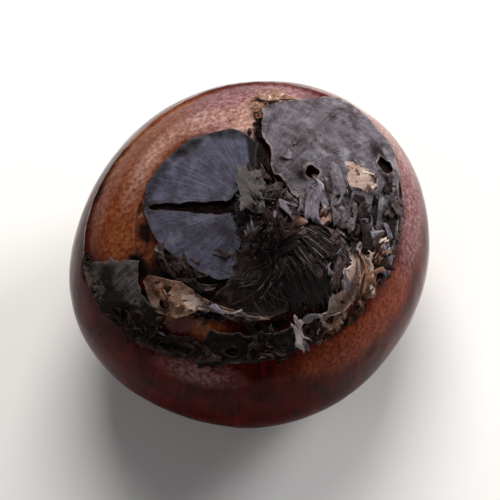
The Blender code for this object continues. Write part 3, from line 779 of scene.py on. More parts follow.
# %% The lower leaves
def lobe_back(azimuth, polar, place):
    """The big mauve lobe that laps over the shield, with holes and a worn place."""
    inner = 48.0 - 38.5 * np.clip((azimuth + 9.0) / 17.0, 0.0, 1.0)
    side = np.interp(polar, (9.0, 11.5, 22.0, 35.0, 56.0), (50.0, 66.0, 82.0, 84.5, 85.0))
    outer = np.interp(azimuth, (50, 58, 68, 74, 86), (99.0, 56.5, 44.5, 39.5, 35.5))
    ring_end = ring_angle(LOWER_RING, azimuth) + 0.4 - 2.8 * bell(azimuth - 5.0, 18.0)
    outer = np.minimum(outer, ring_end)
    return (
        sides_left(azimuth, place, -13.0, side, 0.30, 160),
        (outer - polar) * DEGREE_LENGTH + rough(place, 0.08 + 0.4 * (azimuth > 55.0), 1.3, 3, 168),
        ends_left(polar, place, 99.0, inner, 0.9, 161),
        clear_of_buds(place, 0.0, 164),
        beyond_hole(place, 31.0, 18.4, 0.66, 165),
        beyond_hole(place, 23.5, 48.0, 0.90, 169, 1.6),
        beyond_hole(place, 18.0, 34.5, 1.28, 166, 1.5),
        beyond_hole(place, 350.0, 41.0, 0.5, 170),
    )


def lobe_left(azimuth, polar, place):
    """The olive piece low on the left."""
    step = np.clip(((azimuth - 193.0) / 37.0 - 0.3) / 0.35, 0, 1)
    start = np.interp(polar, (35, 40, 46, 54, 62), (206.0, 202.5, 198.0, 195.0, 191.0))
    outer = ring_angle(LOWER_RING, azimuth) + 0.6
    return (
        sides_left(azimuth, place, start, 231.0, 0.5, 173),
        ends_left(polar, place, outer, 35.5 + 7.0 * step, 0.6, 171),
        beyond_hole(place, 222.0, 50.0, 0.4, 172),
    )


def lobe_front(azimuth, polar, place):
    """The dark piece at the front."""
    return (
        sides_left(azimuth, place, 250.0, 293.0, 0.5, 180),
        ends_left(polar, place, ring_angle(LOWER_RING, azimuth) + 0.8, 40.5, 0.6, 181),
        beyond_hole(place, 262.0, 47.5, 0.4, 182, 1.6),
    )


def under_layer(azimuth, polar, place):
    """A ragged oval of a paler layer, which shows where the back lobe is worn through."""
    oval = -beyond_hole(place, 18.0, 34.5, 1.75, 220, 1.5)
    return oval, beyond_hole(place, 22.5, 38.0, 0.3, 221)


# The lobe's grime paints shade round its holes, in the seam and near the crown, with some dirt.
lay_leaf("lower_scale_back", (-18.0, 94.0), (62.0, 7.0), (290, 160), lobe_back, MAUVE,
         190, (0.14, 0.95), 0.40, 0.42, grime_and_shade=(
             (31, 17, 11, 4.6, 0.8), (24, 47.5, 9, 4, 1.1), (2, 34, 5, 10, 0.4),
             (50, 10, 40, 3, 0.5), (357, 48, 9, 5, 1.1), (52, 46, 12, 7, 0.32),
             (78, 24, 5, 10, 0.3),
         ), bare=((19, 35, 8.5, 5.5, 1.0), (354, 47, 8, 3, 0.4)))
# Its grime paints shade round its hole and darkens it along its lower edge.
lay_leaf("lower_scale_left", (187.0, 237.0), (64.0, 32.0), (150, 92), lobe_left, OLIVE,
         200, (0.18, 0.50), 0.40, 0.40, grime_and_shade=(
             (226, 51, 8, 9, 1.2), (212, 60, 14, 4, 1.1), (192, 56, 4, 6, 0.5),
             (211, 53, 14, 5, 1),
         ), bare=((198, 60.5, 4, 1.6, 0.8), (206, 55.5, 3, 1.6, 0.6)))
lay_leaf("lower_scale_front", (246.0, 298.0), (57.0, 37.0), (160, 70), lobe_front, UMBER,
         210, (0.18, 0.45), 0.40, 0.38,
         bare=((291, 43, 4, 2.5, 0.8), (272, 42, 6, 1.5, 0.5)))
lay_leaf("pale_layer", (0.0, 38.0), (45.0, 25.0), (90, 62), under_layer, CREAM,
         225, (0.42, 0.46), 0.10, 0.10)

# %% [markdown]
# ## The crown
# Two buds sit at the crown under dried leaf tips: one on top, and a larger one beside it that
# looks combed. Strips and bristles are far too many to place by hand. A strand is a path with
# a flat, four-sided section that tapers, and one function sweeps it along all the paths.

# %% Many strands in one mesh
def strand_recipe(name, dark, middle, light):
    """Dried fibre: each strand has its own shade, with darker and paler stretches."""
    mix = Recipe(name)
    grain = mix.noise(0.35 * MM, rough=0.6)
    own = mix.mark("shade")
    colour = mix.blend(mix.between(own, 0.25, 0.7), dark, middle)
    colour = mix.blend(mix.between(own, 0.72, 1.0), colour, light)
    colour = mix.blend(mix.between(grain, 0.45, 0.75), colour, dark)
    tip = mix.times(mix.between(mix.mark("along"), 0.55, 1.0), 0.35)
    return mix.serve(mix.blend(tip, colour, light), mix.line(grain, 0.3, 0.55),
                     mix.bump(grain, 0.05 * MM), specular_ior_level=0.14)


DARK_FIBRE = strand_recipe("dried_fibre", (17, 12, 11), (54, 44, 41), (134, 122, 120))
TAN_FIBRE = strand_recipe("tan_fibre", (60, 38, 28), (116, 90, 78), (178, 158, 150))


def unit(vectors):
    """Vectors of length one."""
    return vectors / np.maximum(np.linalg.norm(vectors, axis=-1, keepdims=True), 1e-12)


def random_sizes(draw, count, widths, walls, roll):
    """A width, a wall and a roll for each strand."""
    return (draw.uniform(*widths, count) * MM, draw.uniform(*walls, count) * MM,
            draw.normal(0.0, roll, count))


def sweep_strands(name, paths, widths, walls, rolls, shades, material=DARK_FIBRE,
                  slot="dried_crown", replaced=("crown_tuft",)):
    """Strands as one piece: paths (count, steps, 3), and four numbers for each strand.

    Each section is a flat diamond across the path, turned by roll from lying flat on the body.
    """
    count, steps = paths.shape[:2]
    along = np.linspace(0.0, 1.0, steps)
    tangent = unit(np.gradient(paths, axis=1))
    flat = unit(np.cross(unit(paths - np.array([0.0, 0.0, 0.3 * BODY_HEIGHT])), tangent))
    normal = np.cross(tangent, flat)
    turn = rolls[:, None, None] * (0.3 + 0.7 * along[None, :, None])
    cosine, sine = np.cos(turn), np.sin(turn)
    flat, normal = flat * cosine + normal * sine, normal * cosine - flat * sine
    taper = np.clip(1.25 - 1.1 * along**1.6, 0.12, 1.0)[None, :, None]
    half = flat * (0.5 * widths[:, None, None] * taper)
    wall = normal * (0.5 * walls[:, None, None] * np.sqrt(taper))
    corners = np.stack([paths + half, paths + wall, paths - half, paths - wall], axis=2)
    index = np.arange(count * steps * 4).reshape(count, steps, 4)
    beside = np.roll(index, -1, axis=2)
    sides = np.stack([index[:, :-1], index[:, 1:], beside[:, 1:], beside[:, :-1]], axis=-1)
    faces = np.concatenate([sides.reshape(-1, 4), index[:, 0], index[:, -1, ::-1]])
    piece = put_mesh(name, corners, faces, material, replaced)
    mark(piece, shade=np.repeat(np.clip(shades, 0.0, 1.0), steps * 4),
         along=np.tile(np.repeat(along, 4), count))
    shape = bmesh.new()
    shape.from_mesh(piece.data)
    bmesh.ops.recalc_face_normals(shape, faces=shape.faces)
    shape.to_mesh(piece.data)
    shape.free()
    print(f"{name}: {count} strands, {triangles_of(piece)} triangles")


# %% [markdown]
# Under the strands each bud is a low dark clump. Its height over the skin is a function of the
# place in plan, so the strands can be laid on it like hair on a head.

# %% The clumps over the buds
def mound(x, y):
    """How high the clumps stand over the skin: half an ellipsoid over each bud."""
    high = np.zeros(np.broadcast(x, y).shape)
    buds = (TOP_BUD, TOP_RADIUS, TOP_HEIGHT), (SIDE_BUD, SIDE_RADIUS, SIDE_HEIGHT)
    for bud, radius, height in buds:
        apart = np.hypot(x - bud[0], y - bud[1]) / radius
        high = np.maximum(high, height * np.sqrt(np.clip(1.0 - apart**2, 0.0, 1.0)))
    return high


def make_clump(name, bud, radius, height, salt, around=96, down=40):
    """A closed dark clump: an ellipsoid on the skin, roughened by noise, sunk halfway in."""
    turn, fall, faces = closed_grid(around, np.linspace(0.0, math.pi, down))
    ball = columns(np.sin(fall) * np.cos(turn), np.sin(fall) * np.sin(turn), np.cos(fall))
    uneven = 0.86 + 0.16 * noise(ball, 0.45, 3, salt)
    x, y = (bud[i] + 0.97 * radius * uneven * ball[:, i] for i in (0, 1))
    over = np.where(ball[:, 2] > 0.0, height, 1.2 * MM) * uneven * ball[:, 2]
    clump = put_mesh(name, on_skin(x, y, over), faces, DARK_FIBRE, ("crown_tuft",))
    mark(clump, shade=0.25 + 0.35 * noise(ball, 0.3, 3, salt + 9), along=0.0 * turn)
    print(name, triangles_of(clump), "triangles")


make_clump("top_clump", TOP_BUD, TOP_RADIUS, 0.8 * TOP_HEIGHT, 300)
make_clump("side_clump", SIDE_BUD, SIDE_RADIUS, 0.92 * SIDE_HEIGHT, 310)

# %% [markdown]
# The side bud is like a shaving brush that lies on its side. Its bristles leave the end near
# the crown close together, and fan out over the bud to its far edge. Each has its lane, which
# sets its place across the fan, and its own small waves and lift.

# %% The brush of the side bud
BRUSH_HEADING, BRUSH_ROOT = math.radians(-48.0), -0.95


def brush_side_bud(name, count, seed, widths, lifts, fan, overshoot, light, steps=12):
    """Bristles from BRUSH_ROOT to the far edge, across = lane x (start + fan x along)."""
    draw = np.random.default_rng(seed)
    single = (count, 1)
    forward = np.array([math.cos(BRUSH_HEADING), math.sin(BRUSH_HEADING)])
    beside = np.array([-forward[1], forward[0]])
    lane = np.linspace(-1.0, 1.0, count) + draw.normal(0.0, 0.05, count)
    lane = np.clip(lane, -1.0, 1.0)[:, None]
    run = np.linspace(0.0, 1.0, steps)[None, :]
    start = BRUSH_ROOT + 0.9 * draw.random(single) ** 2.5
    finish = np.sqrt(1.0 - 0.75 * lane**2) * (0.60 + overshoot * draw.random(single))
    along = start + np.maximum(finish - start, 0.3) * run
    across = lane * (0.62 + fan * (along + 1.0)) + draw.normal(0.0, 0.05, single)
    across = across + draw.normal(0.0, 0.10, single) * run**2
    wave = 0.035 * np.sin(run * draw.uniform(3, 9, single) + draw.uniform(0, 6, single))
    x, y = (SIDE_BUD[i] + SIDE_RADIUS * (forward[i] * along + beside[i] * (across + wave))
            for i in (0, 1))
    hump = 0.3 + 0.7 * np.sin(math.pi * np.clip(run * 0.9, 0, 1))
    stray = draw.uniform(*lifts, single) * MM * hump
    over = np.maximum(mound(x, y) * 0.94, 0.2 * MM) + stray
    shades = draw.normal(0.24 + light, 0.22, count) + 0.5 * (draw.random(count) > 0.94)
    shades = shades + 0.22 * np.maximum(lane[:, 0], 0.0)
    sizes = random_sizes(draw, count, widths, (0.06, 0.11), 0.8)
    sweep_strands(name, on_skin(x, y, over), *sizes, shades)


brush_side_bud("side_bud_bristles", 330, 31, (0.14, 0.42), (0.0, 0.45), 0.16, 0.16, 0.06)
brush_side_bud("side_bud_hairs", 260, 32, (0.05, 0.13), (0.2, 1.0), 0.24, 0.35, 0.22)

# %% [markdown]
# The top bud has no comb. Its strips start near the middle, lie outwards over the leaf ends
# like straw on a thatch, and curl at their tips. The golden angle spreads their headings
# evenly. The same thatch, turned to the front only, covers the dark leaf there and joins the
# two buds into one shaggy mass.

# %% The thatch over the top bud
GOLDEN_SHARE, SETTLE = 0.618034, 0.85


def thatch(name, count, steps, middle, headings, lengths, widths, heights, seed, light, reach):
    """Strips that leave a place in many directions, each with its length and arch."""
    draw = np.random.default_rng(seed)
    single = (count, 1)
    share = (GOLDEN_SHARE * np.arange(count) + draw.uniform(-0.07, 0.07, count)) % 1.0
    heading = np.radians(headings[0] + (headings[1] - headings[0]) * share)[:, None]
    out = reach * MM * np.sqrt(draw.random(single))
    length = draw.uniform(*lengths, single) * MM
    run = np.linspace(0.0, 1.0, steps)[None, :]
    bend = draw.normal(0.0, 0.6, single) * run + 0.25 * np.sin(run * draw.uniform(3, 8, single))
    x = middle[0] * MM + (out + length * run) * np.cos(heading + bend * 0.6)
    y = middle[1] * MM + (out + length * run) * np.sin(heading + bend * 0.6)
    arch = draw.uniform(*heights, single) * MM
    curl = draw.normal(0.0, 0.35, single) * MM
    over = mound(x, y) * SETTLE + 0.12 * MM
    over = over + arch * np.sin(math.pi * np.minimum(run * 0.9 + 0.05, 1.0))
    over = over + np.maximum(curl, -0.1 * MM) * run**3
    shades = draw.normal(0.28 + light, 0.24, count) + 0.4 * (draw.random(count) > 0.93)
    sizes = random_sizes(draw, count, widths, (0.05, 0.11), 0.9)
    sweep_strands(name, on_skin(x, y, over), *sizes, shades)


thatch("crown_strips", 110, 10, (1.9, -1.7), (-20, 340), (0.9, 2.3), (0.30, 0.90), (0.1, 0.6),
       41, 0.0, 2.1)
thatch("crown_threads", 520, 9, (2.0, -1.8), (-20, 340), (0.8, 2.4), (0.06, 0.20), (0.1, 0.9),
       43, 0.06, 2.2)
thatch("front_strips", 100, 9, (2.4, -3.8), (244, 306), (1.6, 4.6), (0.25, 0.8), (0.1, 0.45),
       45, 0.0, 2.8)
thatch("front_threads", 420, 9, (2.4, -3.8), (240, 315), (1.4, 5.4), (0.06, 0.20), (0.1, 0.7),
       47, 0.04, 3.0)

# %% [markdown]
# A few dried shoots still stand on the top bud. Each was a rolled leaf tip that has split into
# fibres, so it is a sheaf: strands that start round one root, rise and lean together, and part
# a little at their ragged tips.

# %% Dried shoots
def repeat_rows(rows, counts_at):
    """Each row as often as its own count says, as columns; and how many there are."""
    table = np.repeat(np.array(rows, float), [row[counts_at] for row in rows], axis=0)
    return table.T, len(table)


def raise_shoots(name, rows, seed, steps=9):
    """Sheaves from rows of (x, y, heading, lean, height, strands): out = lean x run^1.4."""
    draw = np.random.default_rng(seed)
    table, count = repeat_rows(rows, 5)
    single = (count, 1)
    x, y, heading, lean, height = table[:5, :, None]
    run = np.linspace(0.0, 1.0, steps)[None, :]
    broken = draw.uniform(0.45, 1.0, single)
    heading = np.radians(heading + draw.normal(0.0, 14.0, single))
    spread = draw.normal(0.0, 1.0, (2, count, 1)) * (0.42 + 0.30 * run**2)
    out = lean * draw.uniform(0.75, 1.25, single) * (run * broken) ** 1.4
    x, y = x + out * np.cos(heading) + spread[0], y + out * np.sin(heading) + spread[1]
    rise = height * np.sin(0.5 * math.pi * run * broken) + 0.1
    shades = draw.normal(0.42, 0.24, count)
    sizes = random_sizes(draw, count, (0.12, 0.55), (0.06, 0.12), 1.2)
    sweep_strands(name, on_skin(x * MM, y * MM, rise * MM), *sizes, shades)


raise_shoots("dried_shoots", ((1.2, -1.3, 130, 1.7, 4.4, 34), (2.0, -2.3, 262, 1.5, 3.6, 30),
                              (2.6, -1.3, 25, 1.6, 3.2, 26), (0.6, -0.4, 150, 2.0, 2.2, 24)), 49)

# %% [markdown]
# One leaf still reaches the top: a greyish tongue that runs on from the shield and lies over
# the top bud. It is a grid in plan, torn to shape like the others, and draped over the clump.

# %% The tongue over the top bud
def lay_tongue(wide=60, long=84):
    """x = a bend + 1.5 mm x side, y runs down from 4.2 mm, over = the clump + 0.45 mm + waves."""
    side, along = np.meshgrid(np.linspace(-1.2, 1.2, wide), np.linspace(0.0, 1.15, long))
    plan = columns(side * 1.4, along * 5.6, 0.0)
    half = 0.95 - 0.22 * along + 0.34 * noise(plan, 0.8, 4, 425)
    end = 5.6 * (1.0 - along) + 1.0 * noise(plan, 0.7, 4, 426)
    keep = np.minimum(1.4 * (half - np.abs(side)), end) * MM
    (side, along, keep), faces = torn_grid(side, along, keep)
    x = -0.10 + 1.5 * side + 0.4 * along * along
    y = 4.2 - 5.9 * along - 0.3 * side
    plan = columns(x, y, 0.0)
    edge = np.exp(-keep / (0.35 * MM))
    curl = 0.35 * along * edge * np.clip(0.4 + noise(plan, 1.4, 2, 428), 0.0, 1.2)
    over = 0.45 + 0.75 * along + 0.20 * noise(plan, 1.0, 3, 427) + curl
    places = on_skin(x * MM, y * MM, over * MM + mound(x * MM, y * MM))
    tongue = put_mesh("crown_tongue", places, faces, SAGE, ("crown_tuft",))
    mark(tongue, edge=edge * along, fibre=columns(3.0 * x, 0.0 * x, 0.05 * y), along=along,
         grime_and_shade=0.5 * bell(along - 1.0, 0.2), bare=0.4 * bell(along - 0.9, 0.15))
    thicken(tongue, PAPER)


lay_tongue()

# %% [markdown]
# Between the two buds the tip of a live bud shows, reddish and fresh. It is a small pointed
# body of revolution that leans to one side: its radius follows a sine that comes to a point.

# %% The live bud
def bud_recipe():
    """Fresh reddish bud scale, slightly waxy."""
    mix = Recipe("fresh_bud")
    grain = mix.noise(0.4 * MM)
    colour = mix.blend(mix.between(grain, 0.35, 0.7), (46, 20, 11), (96, 56, 36))
    colour = mix.blend(mix.between(mix.mark("along"), 0.82, 1.0), colour, (124, 96, 86))
    return mix.serve(colour, 0.45, mix.bump(grain, 0.05 * MM), specular_ior_level=0.2)


def make_bud(name, root, heading, lean, height, radius, around=28, steps=26):
    """A closed leaning cone with a swollen waist: radius x sine^0.75, folded by two waves."""
    turn, run, faces = closed_grid(around, np.linspace(0.0, 1.0, steps), upward=True)
    folds = 1.0 + 0.10 * np.cos(3 * turn + 5 * run)
    wide = radius * np.sin(math.pi * (0.12 + 0.88 * run)) ** 0.75 * folds
    wide = np.where((run == 0.0) | (run == 1.0), 0.0, wide)
    out = lean * run**1.4
    x = root[0] + out * math.cos(math.radians(heading)) + wide * np.cos(turn)
    y = root[1] + out * math.sin(math.radians(heading)) + wide * np.sin(turn)
    places = on_skin(x * MM, y * MM, height * MM * run - 0.3 * MM)
    bud = put_mesh(name, places, faces, bud_recipe(), ("crown_tuft",))
    mark(bud, along=run)
    print(name, triangles_of(bud), "triangles")


make_bud("live_bud", (2.4, -1.9), 348.0, 3.6, 3.3, 0.92)

# %% [markdown]
# A tan scale leans on the outer side of the side bud, as the last husk that still holds it. It
# is a strip round the bud: its foot stands a little way off, and its torn upper edge leans in
# over the bristles.

# %% The crescent scale
def make_crescent(wide=130, high=30):
    """away = bud radius + foot - lean x along, over = mound or a rise along, with a torn edge."""
    across, along = np.meshgrid(np.linspace(0.0, 1.0, wide), np.linspace(0.0, 1.0, high))
    turn = columns(across * 22.0, 0.0, along * 0.4)
    ragged = 0.5 * noise(columns(across * 9.0, 0.0, 0.0), 0.7, 4, 400)
    full = np.sin(math.pi * (0.05 + 0.90 * across)) ** 0.7 * (1.0 + ragged)
    heading = np.radians(-86.0 + 132.0 * across)
    reach = along * full
    away = SIDE_RADIUS + (0.95 - 2.1 * reach + 0.15 * noise(turn, 1.2, 2, 402)) * MM
    x, y = SIDE_BUD[0] + away * np.cos(heading), SIDE_BUD[1] + away * np.sin(heading)
    over = np.maximum(mound(x, y) * 0.96 + 0.42 * MM, 0.12 * MM + 1.2 * MM * np.sqrt(reach))
    over = over + (0.10 * noise(turn, 0.8, 3, 403) + 0.35 * full * along**4) * MM
    faces = sheet_faces(np.arange(across.size).reshape(across.shape))
    crescent = put_mesh("bud_crescent", on_skin(x, y, over), faces, HUSK,
                        ("side_bud_scale",))
    mark(crescent, edge=along**6, fibre=turn, along=along,
         grime_and_shade=0.3 * bell(across, 0.10) + 0.6 * bell(across - 0.9, 0.16),
         bare=0.5 * bell(across - 0.45, 0.2) * along)
    thicken(crescent, PAPER)


make_crescent()

# %% [markdown]
# ## Loose ends
# Torn leaf frays into threads that lie along the rings. Each thread starts at a place given by
# its two angles, and wanders off from there.

# %% Frayed threads
def fray(name, starts, lengths, widths, seed, lifts, spread, light, stray=0.35, steps=7,
         material=DARK_FIBRE, slot="dried_crown"):
    """Threads on the skin, heading to the crown from their starts, give or take spread."""
    draw = np.random.default_rng(seed)
    azimuth, polar = starts
    count = len(azimuth)
    single = (count, 1)
    run = np.linspace(0.0, 1.0, steps)[None, :]
    length = draw.uniform(*lengths, single)
    turn = draw.normal(0.0, spread, single) + draw.normal(0.0, 0.6, single) * run
    down = polar[:, None] - length * np.cos(turn) * run / (DEGREE_LENGTH / MM)
    away = np.maximum(np.sin(np.radians(np.maximum(down, 4.0))), 0.1) * HALF_ACROSS_MM
    round_ = azimuth[:, None] + np.degrees(length * np.sin(turn) * run / away)
    lift = draw.uniform(*lifts, single) + draw.normal(0.0, stray, single) * run**2
    lift = np.maximum(lift, 0.06) * MM + relief(skin(round_, down))
    sizes = random_sizes(draw, count, widths, (0.04, 0.08), 0.8)
    shades = draw.normal(light, 0.25, count)
    sweep_strands(name, skin(round_, down, lift), *sizes, shades, material, slot, ())


def ring_starts(ring, azimuths, count, seed, scatter):
    """Places along a stretch of a ring, scattered a little across it."""
    draw = np.random.default_rng(seed)
    azimuth = draw.uniform(*azimuths, count)
    return azimuth, ring_angle(ring, azimuth) + draw.normal(0.0, scatter, count)


fray("lower_ring_fringe", ring_starts(LOWER_RING, (188.0, 372.0), 420, 51, 0.9), (0.25, 1.1),
     (0.05, 0.22), 52, (0.05, 0.3), 1.2, 0.20)
fray("upper_ring_fringe", ring_starts(UPPER_RING, (236.0, 345.0), 160, 53, 0.9), (0.3, 1.2),
     (0.05, 0.18), 54, (0.1, 0.5), 1.1, 0.30)
fray("belly_ring_fringe", ring_starts(BELLY_RING, (0.0, 360.0), 300, 55, 0.6), (0.2, 0.6),
     (0.06, 0.24), 56, (0.03, 0.12), 1.3, 0.30, 0.12)

# %% [markdown]
# Much of what lies about the crown is neither leaf nor thread but small torn flakes. A flake
# is a strip of leaf of a few dozen faces. Its sides run along its fibres, its ends are torn
# to a jagged line, and it is cupped, twisted a little and curled at one end. All flakes of a
# kind are one mesh, and each carries its own shade and fibres.

# %% Flakes of leaf
def flake_recipe(name, *ramp):
    """Scraps whose shade picks a colour from a ramp of five, streaked along their fibres."""
    mix = Recipe(name)
    blotch = mix.noise(0.5 * MM, rough=0.6)
    streak = mix.noise(0.10, mix.mark("fibre", "Vector"), rough=0.6)
    uneven = mix.sum("ADD", mix.times(blotch, 0.5), mix.times(streak, 0.5))
    uneven = mix.sum("SUBTRACT", uneven, 0.5, clamp=False)
    own = mix.line(uneven, 1.3, mix.mark("shade"), clamp=False)
    colour = ramp[0]
    for step, limits in zip(ramp[1:], ((0.05, 0.30), (0.34, 0.52), (0.58, 0.78), (0.84, 1.0))):
        colour = mix.blend(mix.between(own, *limits), colour, step)
    ripple = mix.bump(streak, 0.06 * MM, mix.bump(blotch, 0.10 * MM))
    return mix.serve(colour, 0.7, ripple, specular_ior_level=0.05)


GREY_FLAKES = flake_recipe("grey_flakes", (20, 15, 14), (62, 48, 44), (98, 91, 97),
                           (140, 132, 140), (188, 172, 168))
TAN_FLAKES = flake_recipe("tan_flakes", (22, 13, 9), (72, 42, 28), (122, 88, 70),
                          (160, 134, 122), (202, 180, 164))
SCATTER, SCRAP = 0.6, 0.07 * MM


def scatter_flakes(name, rows, material, seed, across=6, steps=5):
    """Flakes from rows of numbers.

    Each row has azimuth, polar, reach round, reach down, count, length, slim, shade, lift,
    heading and turn. Along a flake: length x (run + skew x side) + jagged ends. Across it:
    half width x side, and a bow. Lift: its own + cup x side^2 + twist x side x run + a curl.
    """
    draw = np.random.default_rng(seed)
    table, count = repeat_rows(rows, 4)
    azimuth, polar, round_, down, _, length, slim, shades, lift, heading, turn = (
        table[:, :, None, None])
    single = (count, 1, 1)

    def vary(spread):
        return draw.normal(0.0, spread, single)

    azimuth = azimuth + round_ * vary(SCATTER)
    polar = polar + down * vary(SCATTER)
    length = 0.5 * length * np.exp(vary(0.35))
    width = length * slim * draw.uniform(0.5, 1.4, single)
    heading = np.radians(heading + turn * draw.uniform(-1.0, 1.0, single))
    shades = np.clip(shades + vary(0.15), 0.0, 1.0)
    run = np.linspace(-1.0, 1.0, steps)[None, :, None]
    side = np.linspace(-1.0, 1.0, across)[None, None, :]
    salt = 10.0 * np.arange(count)[:, None, None]
    jagged = noise(columns(side * 3.0, np.sign(run), salt), 1.0, 2, seed)
    on = length * (run + vary(0.25) * side) + (0.15 * length + 0.6 * width) * jagged * run**2
    worn = 1.0 + 0.25 * noise(columns(run * 2.0, np.sign(side), salt), 1.0, 2, seed + 1)
    off = width * worn * side * (1.0 - draw.uniform(0.0, 0.5, single) * run)
    off = off + 0.25 * vary(1.0) * length * run**2
    to_crown = (on * np.cos(heading) - off * np.sin(heading)) / (DEGREE_LENGTH / MM)
    beside = on * np.sin(heading) + off * np.cos(heading)
    polar = np.maximum(polar - to_crown, 1.0)
    away = HALF_ACROSS_MM * np.maximum(np.sin(np.radians(polar)), 0.12)
    azimuth = azimuth + np.degrees(beside / away)
    cup = draw.normal(0.10, 0.25, single) * side**2 + vary(0.30) * side * run
    curl = draw.uniform(0.0, 0.6, single) * length * np.maximum(run, 0.0) ** 2
    raised = lift * draw.uniform(0.7, 1.3, single) + cup * width + curl
    smooth = skin(azimuth, polar)
    raised = np.maximum(raised, 0.08) * MM + 0.95 * mound(smooth[..., 0], smooth[..., 1])
    places = skin(azimuth, polar, raised + relief(smooth))
    faces = sheet_faces(np.arange(count * steps * across).reshape(count, steps, across))
    piece = put_mesh(name, places, faces[:, [0, 3, 2, 1]], material)
    shades = np.broadcast_to(shades, smooth.shape[:3])
    mark(piece, shade=shades, fibre=columns(off, 0.12 * on, salt))
    thicken(piece, SCRAP)


# %% [markdown]
# The flakes gather where leaves have torn: over the ends of the lobe, round the live bud, at
# the foot of the tan scale, in front between the rings, and at the crown. Big pale ones catch
# the eye, and small dark ones break up every clean edge.

# %% Flakes over the crown and the torn edges
scatter_flakes("crown_flakes", (
    (26, 9, 26, 3, 12, 1.4, 0.35, 0.24, 0.5, 90, 80),
    (266, 9, 14, 2, 5, 1.2, 0.3, 0.12, 0.6, 0, 90),
    (292, 14, 34, 6, 28, 1.5, 0.3, 0.12, 0.4, 0, 90),
    (320, 12, 30, 6, 18, 1.5, 0.3, 0.28, 0.6, 80, 60),
    (78, 11, 10, 4, 8, 1.3, 0.4, 0.1, 0.5, 0, 60), (356, 14, 2, 6, 9, 2, 0.14, 0.42, 0.6, 10, 14),
    (315, 27, 6, 3, 4, 1.2, 0.3, 0.36, 0.6, 45, 40), (319, 34, 5, 3, 3, 1, 0.3, 0.4, 0.6, 45, 40),
    (268, 15, 10, 4, 6, 1.4, 0.4, 0.34, 0.6, 0, 90),
    (331, 26, 7, 4, 6, 1.5, 0.35, 0.34, 0.7, 45, 60),
), GREY_FLAKES, 61)
scatter_flakes("lobe_flakes", (
    (5, 22, 9, 6, 18, 1.6, 0.35, 0.46, 1, 80, 50),
    (352, 28, 9, 6, 16, 1.7, 0.35, 0.46, 0.8, 70, 60),
    (350, 38, 8, 6, 16, 1.5, 0.35, 0.4, 0.6, 60, 80),
    (352, 33, 9, 7, 30, 1.4, 0.35, 0.1, 0.9, 70, 70),
    (346, 47, 5, 2.5, 12, 1, 0.45, 0.62, 0.4, 60, 90),
    (10, 46, 8, 5, 12, 1.2, 0.4, 0.28, 0.8, 60, 90),
    # Near-black flakes that paint the shadow in the seam beside the lobe.
    (84.5, 25, 2, 7, 10, 1.2, 0.3, 0.03, 0.25, 0, 30),
    (40, 32, 30, 14, 8, 0.9, 0.4, 0.56, 0.9, 0, 90),
), GREY_FLAKES, 63)
scatter_flakes("cream_flakes", (
    (19.5, 34, 8, 2.5, 5, 0.7, 0.5, 0.62, 0.5, 60, 90),
    (80, 41, 8, 3, 16, 1, 0.5, 0.62, 0.3, 40, 60), (86, 35, 3, 3, 5, 1.2, 0.5, 0.62, 0.4, 0, 60),
), TAN_FLAKES, 64)
scatter_flakes("husk_flakes", (
    (328, 43, 7, 3, 12, 1.7, 0.4, 0.52, 0.8, 60, 50),
    (316, 46, 9, 2.5, 12, 1.5, 0.4, 0.36, 0.6, 70, 50),
    (342, 43, 4, 2, 6, 1.3, 0.4, 0.5, 0.8, 70, 50),
    (345, 45.5, 3, 1.5, 5, 1.1, 0.5, 0.86, 0.6, 70, 60),
    (303, 46, 3, 1.5, 5, 1.2, 0.5, 0.72, 0.5, 80, 40),
    (353, 21.5, 2, 1, 3, 1.3, 0.5, 0.72, 0.9, 60, 40),
    (304, 48, 8, 2, 12, 1.2, 0.35, 0.28, 0.4, 80, 60),
    (222, 37, 5, 3, 5, 1.3, 0.45, 0.36, 0.4, 80, 40),
    (238, 35, 4, 2, 6, 1.3, 0.4, 0.56, 0.4, 85, 30),
    (243, 40, 4, 1.5, 4, 1, 0.4, 0.36, 0.2, 60, 90),
), TAN_FLAKES, 65)
scatter_flakes("notch_flakes", (
    (355, 15.5, 5, 2, 7, 1.5, 0.4, 0.46, 1.2, 80, 50),
    (340, 50, 5, 2, 6, 1.3, 0.45, 0.56, 0.5, 70, 50),
    (358, 36.5, 3, 2, 4, 1.3, 0.45, 0.5, 1, 70, 60),
), GREY_FLAKES, 69)
scatter_flakes("front_flakes", (
    (222, 28, 16, 3, 26, 1.3, 0.3, 0.14, 0.4, 80, 40),
    (224, 53, 8, 4.5, 24, 1.4, 0.35, 0.12, 0.4, 0, 90),
    (247, 50, 12, 2.2, 22, 1.2, 0.35, 0.12, 0.3, 70, 50),
    (276, 44, 10, 5, 34, 1.4, 0.35, 0.14, 0.4, 60, 90),
    (260, 34.2, 14, 0.8, 9, 1.7, 0.14, 0.38, 0.5, 90, 12),
    (291, 43.6, 0.9, 0.8, 4, 2.2, 0.18, 1, 0.6, 5, 10),
    (296, 40.5, 2.5, 1.5, 5, 1.3, 0.45, 0.84, 0.5, 80, 40),
    (200, 57, 5, 4, 8, 0.9, 0.5, 0.36, 0.2, 60, 90),
    (206, 56, 4, 2.5, 6, 0.9, 0.5, 0.36, 0.3, 60, 90),
    (298, 46, 8, 3, 24, 1.2, 0.35, 0.3, 0.35, 60, 90),
    (240, 54, 24, 2, 30, 1, 0.3, 0.1, 0.2, 70, 50),
    (320, 50, 18, 2, 24, 1, 0.3, 0.12, 0.2, 70, 50),
), GREY_FLAKES, 67)

# %% [markdown]
# Washing leaves a little soil in the folds. Each crumb is a small ball of twenty faces, pushed
# out of shape by noise and half sunk where it sticks.

